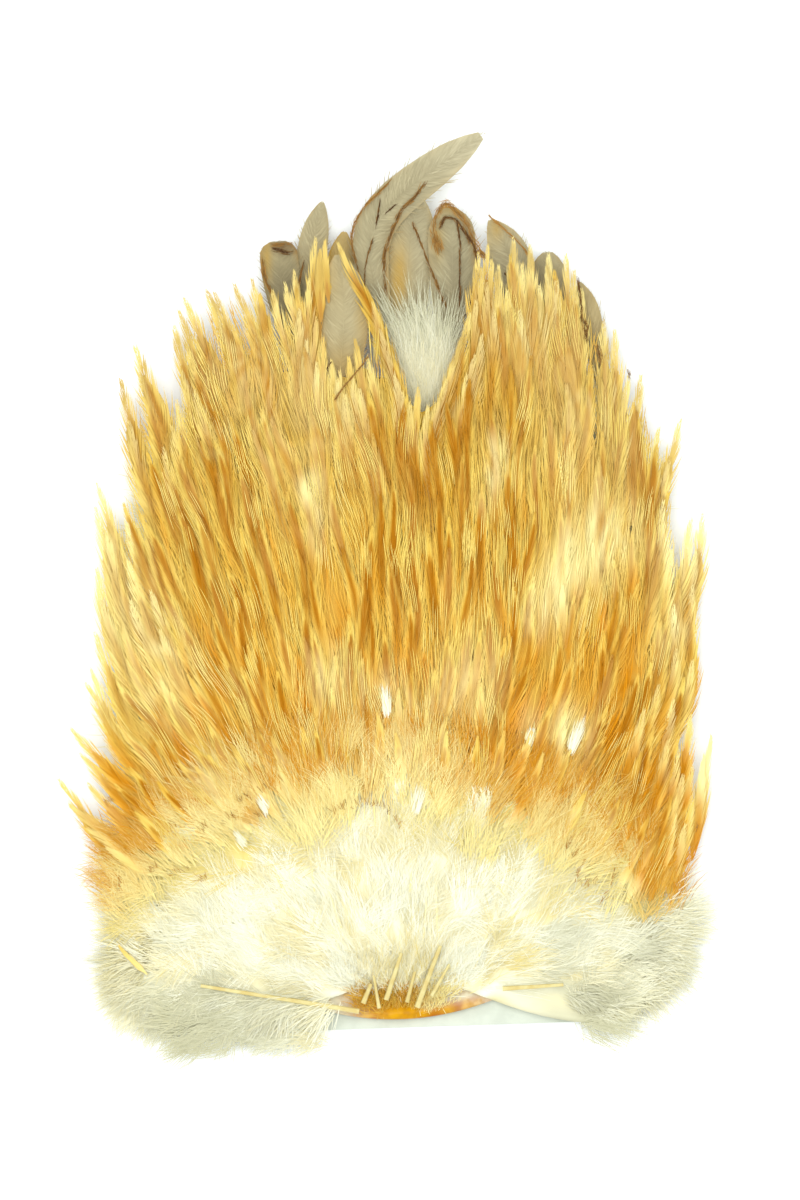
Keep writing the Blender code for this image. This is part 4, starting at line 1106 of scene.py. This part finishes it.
def make_fans(finish, random):
    """Soft strands all over the cushion, which fan out from the bare quills."""
    x, y = random.uniform(-60, 64, 1800), random.uniform(-92, -34, 1800)
    inside = np.abs(x - MIDDLE_X) < half_at(y) - 5
    bare = (np.abs(x - 14) < 25) & (y < -80 + 0.004 * (x - 12) ** 2)
    keep = np.flatnonzero((y < seam(x, y) - 2) & inside & ~bare)[:FAN_TUFTS]
    x, y = x[keep], y[keep]
    y = np.where((x > 30) & (y < -87.5), y + 4, y)
    away = np.degrees(np.arctan2(x - FAN_X, y + 82))
    lean, length = 0.8 * away + random.normal(0, 32, len(x)), random.uniform(5, 9, len(x))
    grey = greyness(x, y) + random.normal(0, 0.12, len(x))
    lower_right = smooth(x, 24, 36) * smooth(-y, 62, 70)
    quill_streak = np.exp(-(((y + 80.5) / 2.0) ** 2)) * smooth(x, 18, 26) * (1 - smooth(x, 42, 52))
    # The term -0.38 * fans makes the furrows between the ridges of down warmer: painted shade. The rest is
    # the down's own tint, the gold near the arch and the quill streak
    warm = (
        (0.22 + 0.2 * waves(x, y, 18, 6)) * (1 - 0.8 * lower_right) - 0.38 * fans(x, y)
        + random.normal(0, 0.06, len(x)) + warm_arch(x, y, -17) + 0.4 * smooth(-x, 36, 50)
        + 0.25 * quill_streak
    )
    field = tufts(
        x, y, lean, spread=11.0, length=length, strands=34, height=down_height, rise=0.45,
        width=0.06, seed=31, grey=grey, warm=np.clip(warm, 0, 1),
    )
    new_piece("down_strands", field, finish, ("down",))


def make_fuzz(finish, random):
    """Short loose strands at the bare quills."""
    x = 5 + 14 * random.uniform(-1, 1, QUILL_TUFTS)
    y = skin_edge(x) + random.uniform(5.0, 9.5, QUILL_TUFTS)
    fuzz = tufts(
        x, y, 2.2 * (x - FAN_X) + random.normal(0, 25, QUILL_TUFTS), spread=16.0,
        length=random.uniform(2.5, 6, QUILL_TUFTS), strands=22,
        height=lambda px, py: np.maximum(down_height(px, py) - 0.3, 3.0), rise=1.4, width=0.05,
        seed=35,
        warm=random.uniform(0.2, 0.9, QUILL_TUFTS) * (1 - smooth(np.abs(x - 3), 4, 11)),
        grey=np.zeros(QUILL_TUFTS),
    )
    new_piece("down_at_quills", fuzz, finish, ("down",))


def make_rim(finish, random):
    """Long strands round the down's outline, an ellipse with squared corners.

    |sin| and |cos| are raised to 0.42 on the left and to 0.6 on the right.
    """
    turn = np.radians(random.uniform(92, 268, RIM_TUFTS))
    square = np.where(np.sin(turn) < 0, 0.42, 0.6)
    x = FAN_X + 50 * np.sign(np.sin(turn)) * np.abs(np.sin(turn)) ** square
    y = -60 - 23 * np.abs(np.cos(turn)) ** square
    free = (np.abs(x - 13) > 23) | (y > -74)
    x, y = x[free], y[free]
    corner = smooth(-x, 22, 36) * smooth(-y, 71, 79)
    x = x - 4.5 * corner
    lean = np.degrees(np.arctan2(x - FAN_X + 26 * corner, y + 62)) + random.normal(0, 14, len(x))

    def rim_height(px, py):
        """5.5 inside an ellipse, and falling by 14 for each radius beyond it, with lumps."""
        far = np.hypot((px - FAN_X) / 53, (py + 58) / 27) - 1
        return 5.5 - 14 * np.maximum(far, 0) + 0.4 * waves(px, py, 9, 5)

    rim = tufts(
        x, y, lean, spread=13.0, length=random.uniform(7, 12, len(x)), strands=52,
        height=rim_height, rise=2.5, width=0.055, seed=32,
        warm=random.uniform(0, 0.4, len(x)) + 0.4 * smooth(-x, 30, 44) * smooth(y, -82, -74),
        grey=greyness(x, y) + random.normal(0.0, 0.2, len(x)),
    )
    new_piece("down_rim", rim, finish, ("down",))


def make_sides(finish, random):
    """Strands that hang out below the feathers at both sides and at the tail end."""
    side = np.where(np.arange(SIDE_TUFTS) % 2, 1.0, -1.0)
    y = random.uniform(-50, 27, SIDE_TUFTS)
    x = MIDDLE_X + 0.84 * half_at(y) * side
    tail = np.arange(SIDE_TUFTS) % 6 == 0
    y[tail], x[tail] = 26.5, MIDDLE_X + random.uniform(-46, 46, tail.sum())
    lean = np.where(tail, 0.5 * (x - MIDDLE_X), side * random.uniform(25, 85, SIDE_TUFTS))

    def side_height(px, py):
        """5.0 at 0.84 of the half width, falling outwards and towards the tail to 1.5."""
        far = np.maximum(np.abs(px - MIDDLE_X) / half_at(py) - 0.84, 0)
        return np.maximum(5.0 - 32 * far - 0.5 * np.maximum(py - 26, 0), 1.5)

    fringe = tufts(
        x, y, lean, spread=14.0, length=random.uniform(4, 7.5, SIDE_TUFTS), strands=9,
        height=side_height, rise=2.2, width=0.075, seed=37,
        warm=random.uniform(0.1, 0.6, SIDE_TUFTS), grey=random.uniform(0, 0.35, SIDE_TUFTS),
    )
    new_piece("down_at_sides", fringe, finish, ("down",))


def make_down(finish):
    """Down: a cushion, fans of strands on it, fuzz at the quills, and strands round the edge."""
    make_cushion(finish)
    random = np.random.default_rng(3)
    make_fans(finish, random)
    make_fuzz(finish, random)
    random = np.random.default_rng(9)
    make_rim(finish, random)
    make_sides(finish, random)


def make_down_shafts(finish):
    """Thin yellow feather shafts that show faintly through the down above the quills."""
    random = np.random.default_rng(39)
    foot = np.concatenate(((-7.3, -2.5, -1.0, 0.5, 9.5, 14.0, 18.0), random.uniform(-30, 40, 9)))
    away = 1.1 * (foot[7:] - FAN_X) + random.normal(0, 6, 9)
    lean = np.concatenate(((-25, -9, -4, 2, 14, 30, 22), away))
    start = np.concatenate((np.full(7, -76.5), -64 + random.uniform(-8, 6, 9)))
    t = np.linspace(0, 1, 9)[None]
    long = random.uniform(12, 21, 16)[:, None] * t
    x, y = rays(foot, start, np.radians(lean[:, None] * (1 - 0.25 * t)), long)
    z = down_height(x, y) + 0.32 - 0.5 * t**2
    made = strips(
        np.stack((x, y, z), -1), 0.17 * (1 - 0.6 * t) * np.ones((16, 1)), np.zeros(16),
        warm=0.75 - 0.4 * t + np.zeros((16, 1)), grey=np.zeros((16, 1)),
    )
    new_piece("down_shafts", made, finish, ("down",))


def make_quill_barbs(finish):
    """Short amber barbs between the bare quills, where they leave the skin."""
    random = np.random.default_rng(37)
    count = 90
    x = 4.5 + 9.5 * random.uniform(-1, 1, count)
    y = skin_edge(x) + random.uniform(1.6, 4.8, count)
    right = smooth(x, 6, 10)
    made = tufts(
        x, y, 1.5 * (x - FAN_X) + random.normal(0, 28, count), spread=14.0,
        length=random.uniform(1.5, 4, count), strands=16,
        height=lambda px, py: np.maximum(down_height(px, py) - 0.2, 3.2), rise=1.0, width=0.05,
        seed=38,
        own=random.uniform(0, 0.8, count), light=random.uniform(0, 0.4, count),
        deep=0.6 * random.uniform(0, 1, count) ** 3 * (1 - right), cream=0.9 * right,
        orange=random.uniform(0, 0.8, count) * (1 - 0.6 * right), dusk=0 * x,
    )
    new_piece("amber_barbs", made, finish, ("down",))


def make_arch(finish):
    """Soft golden barbs at the feet of the saddle feathers, paler towards the down."""
    random = np.random.default_rng(36)
    x = random.uniform(-54, 59, 1100)
    y = arch(x) + random.uniform(-14, 10, 1100)
    aside = (x > 44) & (y < arch(x) - 1) & (golden_band(x, y) < 0.5)
    keep = np.flatnonzero((y > seam(x, y) - 7) & ~aside)[:ARCH_TUFTS]
    x, y = x[keep], y[keep]
    count = len(x)
    up = smooth(y - arch(x), -12, 3)
    patch = np.clip(0.5 + 0.8 * waves(x, y, 10, 21), 0, 1)
    band, tanned = golden_band(x, y), spots(x, y, ORANGE_SPOTS)
    lean, length = flow(x, y) + random.normal(0, 18, count), random.uniform(5, 9, count)
    single = random.uniform(0, 1, count)
    cream = (
        1.0 - 0.65 * up * patch - 0.3 * up + 0.5 * spots(x, y, PALE_SPOTS) - 0.75 * band
        - 0.8 * up * np.clip(tanned, 0, 1) + random.normal(0, 0.12, count)
    )
    orange = (
        0.2 * up + 0.7 * up * patch**1.5 + 0.6 * up * tanned + 0.25 * band
        + random.normal(0, 0.1, count)
    )
    made = tufts(
        x, y, lean, spread=7.0, length=length, strands=22,
        height=lambda px, py: pile(px, py) - 0.7, rise=0.5, width=0.052, seed=34, own=single,
        light=0.45 + 0 * x, deep=0.2 * up * patch**2, cream=np.clip(cream, 0, 1),
        orange=np.clip(orange, 0, 0.9), dusk=0 * x,
    )
    new_piece("barbs_at_arch", made, finish, ("saddle_hackles",))


def make_windows(finish):
    """White down that shows through openings between the feathers, longest in its middle."""
    sets = []
    for number, (x, y, half, length, white) in enumerate(WINDOWS):
        random = np.random.default_rng(50 + number)
        count = 90
        a = np.clip(random.normal(0, 0.7, count), -1.8, 1.8)
        sx = x + half * a
        sy = y - 0.5 * length * (1 - 0.5 * a**2) + random.normal(0, 0.5, count)
        lean = np.radians(flow(sx, sy) - 7 * a + random.normal(0, 6, count))[:, None]
        long = length * random.uniform(0.35, 1.0, count)[:, None] * (1 - 0.4 * a**2)[:, None]
        t = np.linspace(0, 1, 5)
        lx, ly = rays(sx, sy, lean, long * t)
        z = pile(lx, ly) + random.uniform(-0.6, 0.3, (count, 1))
        z = z - 0.35 * np.abs(a)[:, None] - 0.3 * (1 - t)
        sets.append(strips(
            np.stack((lx, ly, z), -1), 0.09 * np.array((0.7, 1, 1, 0.6, 0.15)) * np.ones((count, 1)),
            random.normal(0, 0.15, count), grey=random.uniform(0, 0.4, (count, 1)),
            warm=np.clip(1.1 - white + 0.9 * smooth(np.abs(a), 0.3, 1.1), 0, 1)[:, None],
        ))
    new_piece("down_in_openings", joined(sets), finish, ("down",))


# Tail coverts and the tuft between the feathers


def covert_width(s, half, widest, blunt):
    """Half width of a covert at the share s of its length from the root.

    It rises as sin^0.8 from a narrow calamus to the widest share, then falls as 1 - share^blunt.
    """
    rise = np.clip((s - 0.12) / (widest - 0.12), 0, 1)
    fall = np.clip((s - widest) / (1 - widest), 0, 1)
    return half * np.sin(math.pi / 2 * rise) ** 0.8 * (1 - fall**blunt) + 0.05


def make_coverts(finish):
    """The ten coverts, each as one feather along a smooth shaft, stained as STAINS says.

    A stain adds strength * exp(-far), where far is (dx / reach in x)^2 + (dy / reach in y)^2.
    """
    for number, (level, half, widest, knots, cream, gold, blunt) in enumerate(COVERTS, 1):
        line = curve(knots, 25)[::-1]
        steps = np.linalg.norm(np.diff(line, axis=0), axis=1)
        length = np.array([steps.sum()])
        run = -np.gradient(line, axis=0)
        run /= np.linalg.norm(run, axis=1, keepdims=True)
        height = COVERT_LOW + level * COVERT_STEP + 0.45
        shafts = np.concatenate((line, np.full((25, 1), height)), 1)[None]
        long = float(length[0])

        def outline(back):
            """Half width of this covert at a distance back from the tip."""
            return covert_width(1 - np.maximum(back, 0) / long, half, widest, blunt)

        def paint(points, back, out):
            """Shares from fine bands across the barbs, soft patches, the rim and the stains."""
            share = np.abs(out) / np.maximum(outline(back), 0.05)
            edge = smooth(share, 0.8, 1.0)
            bent = 4 * waves(back, 2 * out, 9, number)
            fibre = 0.5 + 0.5 * np.sin(4.2 * (back + 1.4 * np.abs(out)) + bent)
            patch = 0.5 + 0.5 * waves(back / 2, out, 5, 30 + number)
            given = {
                "light": 0.25 * fibre + 0.4 * patch, "orange": gold + 0.35 * edge * patch,
                "deep": 0.55 * smooth(share, 0.88, 0.98) * patch, "cream": cream + 0.1 * (fibre - 0.5),
                "dusk": (0.25 * (1 - fibre) + 0.25 * (1 - patch)) * (1 - edge) * (1 - gold),
            }
            for label, x, y, wide, high, strength in STAINS:
                far = ((points[..., 0] - x) / wide) ** 2 + ((points[..., 1] - y) / high) ** 2
                given[label] = given[label] + strength * np.exp(-far)
            plain = 1 - 0.75 * np.clip(given["orange"], 0, 1)
            given["cream"], given["dusk"] = given["cream"] * plain, given["dusk"] * plain
            return {label: np.clip(data + 0 * back, 0, 1) for label, data in given.items()}

        made = feathers(
            shafts, run[None], length, length * 0.97, outline, paint, seed=70 + number,
            barbs=int(long * 2.6), reach=6.0, width=0.085, camber=0.10, ragged=0.05, sheet=0.97,
            bare=0.02, steep=0.7, sunk=0.12, pointed=False,
        )
        name = f"covert_vane_{number:02d}"
        new_piece(name, made, finish, (f"tail_covert_{number:02d}",))


def make_lines(finish):
    """Brown shafts and margins on the coverts: short fibres that leave each line aslant."""
    sets = []
    for number, (half, height, dark, *knots) in enumerate(LINES):
        random = np.random.default_rng(90 + number)
        path = curve(knots, 41)
        long = np.linalg.norm(np.diff(path, axis=0), axis=1).sum()
        count = int(long * (5 + 11 * half)) + 4
        share = random.uniform(0.0, 1.0, count)
        spot = sample(np.repeat(path[None], count, 0), share[:, None])[:, 0]
        ahead = sample(np.repeat(np.gradient(path, axis=0)[None], count, 0), share[:, None])[:, 0]
        ahead /= np.linalg.norm(ahead, axis=1, keepdims=True)
        out = random.normal(0, 0.45, count) * half
        spot = spot + np.stack((ahead[:, 1], -ahead[:, 0]), -1) * out[:, None]
        angle = np.arctan2(ahead[:, 0], ahead[:, 1]) + random.normal(0, 0.16, count)
        t = np.linspace(-0.5, 0.5, 4) * np.minimum(random.uniform(0.8, 2.4, count), 0.5 * long)[:, None]
        x, y = rays(spot[:, 0], spot[:, 1], angle[:, None], t)
        z = height + random.uniform(0, 0.25, (count, 1)) + 0 * t
        shade = dark + 0.25 - 0.5 * np.abs(out) / half + random.normal(0, 0.15, count)
        sets.append(strips(
            np.stack((x, y, z), -1), 0.045 * np.array((0.5, 1, 1, 0.3)) * np.ones((count, 1)),
            random.normal(0, 0.2, count), dark=np.clip(shade, 0, 1)[:, None],
        ))
    nodes = ("tail_covert_01", "tail_covert_02", "tail_covert_04", "tail_covert_06")
    new_piece("brown_margins", joined(sets), finish, nodes)


def make_bristles(finish):
    """Rows of short dark ends of barbs where feathers are broken off."""
    sets = []
    for number, (x, y, half, turn) in enumerate(BRISTLES):
        random = np.random.default_rng(140 + number)
        count = int(5 * half) + 4
        along = random.uniform(-half, half, count)
        a = math.radians(turn)
        px = x + along * math.cos(a)
        py = y + along * math.sin(a) + random.normal(0, 0.4, count)
        lean = np.radians(flow(px, py) + random.normal(0, 22, count) + 9 * along)
        long = random.uniform(0.7, 1.7, count)
        lx, ly = rays(px, py, lean[:, None], long[:, None] * np.linspace(0, 1, 4))
        lines = np.stack((lx, ly, pile(lx, ly) + 0.25), -1)
        thin = 0.05 * random.uniform(0.4, 1.3, (count, 1)) * np.ones((1, 4))
        dark = np.clip(random.normal(0.12, 0.25, (count, 1)), 0, 1)
        sets.append(strips(lines, thin, random.normal(0, 0.3, count), dark=dark))
    new_piece("dark_bristles", joined(sets), finish, ("down", "saddle_hackles"))


def make_tuft(finish):
    """The white tuft that leaves the gap between the feathers towards the tail."""
    random = np.random.default_rng(8)
    count = TAIL_TUFTS
    y = 31 + 15 * random.uniform(0, 1, count) ** 1.2
    x = GAP_X + (0.6 + 0.36 * (y - 31)) * random.uniform(-1, 1, count)
    lean = -4 + 1.2 * (x - 8) + random.normal(0, 6, count)
    made = tufts(
        x, y, lean, spread=4.0, length=random.uniform(8, 13, count), strands=30,
        height=lambda px, py: 8.1 + 0 * px, rise=1.2, width=0.055, seed=33,
        warm=np.clip(0.15 + 0.25 * smooth(45 - y, 0, 12), 0, 1),
        grey=np.clip(0.35 + 0.6 * smooth(y, 38, 48) + random.normal(0, 0.15, count), 0, 1),
    )
    new_piece("tail_tuft", made, finish, ("tail_down",))


# Skin, card, quills


def skin_edge(x):
    """Y of the cut edge: a parabola, lowest at the amber lump."""
    return -86.9 + 0.0095 * (x - 1.5) ** 2


def make_skin(finish):
    """The dried skin: a thin sheet with a thick, lumpy amber rim at its cut edge.

    u runs across and v from the cut edge inwards. The rim is a ridge exp(-((off - 1.2) / 1.6)^2)
    at off from the edge, times two lumps. The shares amber and dark colour it.
    """
    u, v = np.meshgrid(np.linspace(-1, 1, 141), np.linspace(0, 1, 29) ** 2.5)
    y_wide = -86 + 126 * v
    half = np.interp(y_wide, (-86, -78, -60, 0, 30, 40), (24, 33, 37, 36, 33, 26))
    x = 4 + half * u
    y = skin_edge(x) + (40 - skin_edge(x)) * v
    off = y - skin_edge(x)
    ridge = np.exp(-(((off - 1.2) / 1.6) ** 2))
    lump = 1.7 * np.exp(-(((x - 2.5) / 5.0) ** 2)) + 0.6 * np.exp(-(((x - 13) / 6.0) ** 2))
    z = SKIN_TOP + ridge * lump + 0.18 * waves(x, y, 3.2, 12) * np.exp(-off / 4)
    z = np.where(off < 0.05, SKIN_TOP - 0.1, z)
    amber = np.exp(-(((x - 5) / np.where(x < 5, 12.5, 16.0)) ** 4))
    amber = amber * (1 - 0.85 * smooth(x, 6, 10) * smooth(off, 1.3, 2.6))
    dark = np.clip(0.5 + 0.9 * waves(x, y, 3.5, 14), 0, 1)
    dark = dark * (1 - 0.8 * np.exp(-(((x - 2.5) / 4.5) ** 2)))
    top = np.stack((x, y, z), -1)
    low = np.stack((x, y, np.full_like(z, SKIN_LOW)), -1)
    made = closed_sheet(top, low, amber=amber, dark=dark)
    new_piece("skin_edge", made, finish, ("dried_skin",))


# Stage, in metres


FLOOR_HALF = 3.0
FLOOR_Z = -0.0002
LAMP_AT = (-0.05, 0.05, 1.0)
CAMERA_AT = (0.0031, -0.0025, 1.6)
SENSOR_MM = 36
SEEN_HEIGHT, SEEN_LENGTH = 0.012, 0.240


def make_stage():
    """A plain white floor, soft light from above, and a camera straight over the object.

    The lens is as long as shows SEEN_LENGTH from top to bottom at the height SEEN_HEIGHT.
    """
    scene = bpy.context.scene
    mesh = bpy.data.meshes.new("floor")
    corners = [(-1, -1), (1, -1), (1, 1), (-1, 1)]
    mesh.from_pydata([(FLOOR_HALF * x, FLOOR_HALF * y, 0) for x, y in corners], [], [(0, 1, 2, 3)])
    made, _, shader = nodes_of("Floor white", 0.8, 0.0)
    shader.inputs["Base Color"].default_value = (0.93, 0.95, 0.95, 1)
    mesh.materials.append(made)
    floor = bpy.data.objects.new("floor", mesh)
    floor.location.z = FLOOR_Z
    scene.collection.objects.link(floor)
    scene.world = bpy.data.worlds.new("Studio")
    scene.world.use_nodes = True
    sky = scene.world.node_tree.nodes["Background"]
    sky.inputs["Color"].default_value = (0.97, 1.0, 1.0, 1)
    sky.inputs["Strength"].default_value = 1.05
    lamp = bpy.data.lights.new("soft_top", "AREA")
    lamp.size = 0.8
    lamp.energy = 7.5
    item = bpy.data.objects.new("soft_top", lamp)
    item.location = LAMP_AT
    item.rotation_mode = "QUATERNION"
    item.rotation_quaternion = (-Vector(LAMP_AT)).to_track_quat("-Z", "Y")
    scene.collection.objects.link(item)
    view = bpy.data.cameras.new("camera")
    view.sensor_fit = "VERTICAL"
    view.sensor_height = view.sensor_width = SENSOR_MM
    view.lens = SENSOR_MM * (CAMERA_AT[2] - SEEN_HEIGHT) / SEEN_LENGTH
    view.clip_start = 0.05
    view.clip_end = 10
    camera = bpy.data.objects.new("camera", view)
    camera.location = CAMERA_AT
    scene.collection.objects.link(camera)
    scene.camera = camera
    scene.view_settings.view_transform = "Standard"
    scene.view_settings.look = "None"


def finish_solids(finishes):
    """Give the solids that stay as they are their finish, by the start of their name."""
    for item in bpy.data.objects:
        for start, finish in finishes.items():
            if item.type == "MESH" and item.name.startswith(start):
                item.data.materials.clear()
                item.data.materials.append(finish)


def main():
    """The stage, the finishes, then the pieces from the feathers to the skin."""
    make_stage()
    mottle, shades = mottle_group(), barb_group()
    # The dusk colour #AA863C shows the tan streaks and also the painted shade at the top of the plumage
    gold = feather_material(
        "Golden barbs", mottle, shades, hexa("#D0A636"), hexa("#E0C664"), hexa("#CC860A"),
        hexa("#A06400"), hexa("#ECE09C"), hexa("#AA863C"), hexa("#E2CC6C"),
    )
    covert = feather_material(
        "Covert barbs", mottle, shades, hexa("#988E6C"), hexa("#AAA07C"), hexa("#B89440"),
        hexa("#76501E"), hexa("#C2BA9A"), hexa("#80765A"), hexa("#ACA27E"),
    )
    cream = down_material(hexa("#F0F0DC"), hexa("#DCCA78"), hexa("#C2C0A0"))
    mark = mark_material(hexa("#A87C3C"), hexa("#4A3018"))
    field = make_hackles(gold)
    make_under_barbs(gold, field)
    make_mat(gold, field)
    make_loose_hairs(gold)
    make_down(cream)
    make_arch(gold)
    make_down_shafts(cream)
    make_quill_barbs(gold)
    make_windows(cream)
    make_coverts(covert)
    make_lines(mark)
    make_bristles(mark)
    make_tuft(cream)
    make_skin(skin_material(mottle))
    finish_solids({
        # The card is white; its grey-white colours #C2C8BA and #CAD0C2 are darker to paint its shade
        "backing_card": mottled_material(
            "Card", mottle, hexa("#C2C8BA"), hexa("#CAD0C2"), 300.0, 0.8, 0.1,
        ),
        "bare_quill": mottled_material(
            "Quill", mottle, hexa("#C8B470"), hexa("#D4C88C"), 400.0, 0.35, 0.4,
        ),
    })


main()
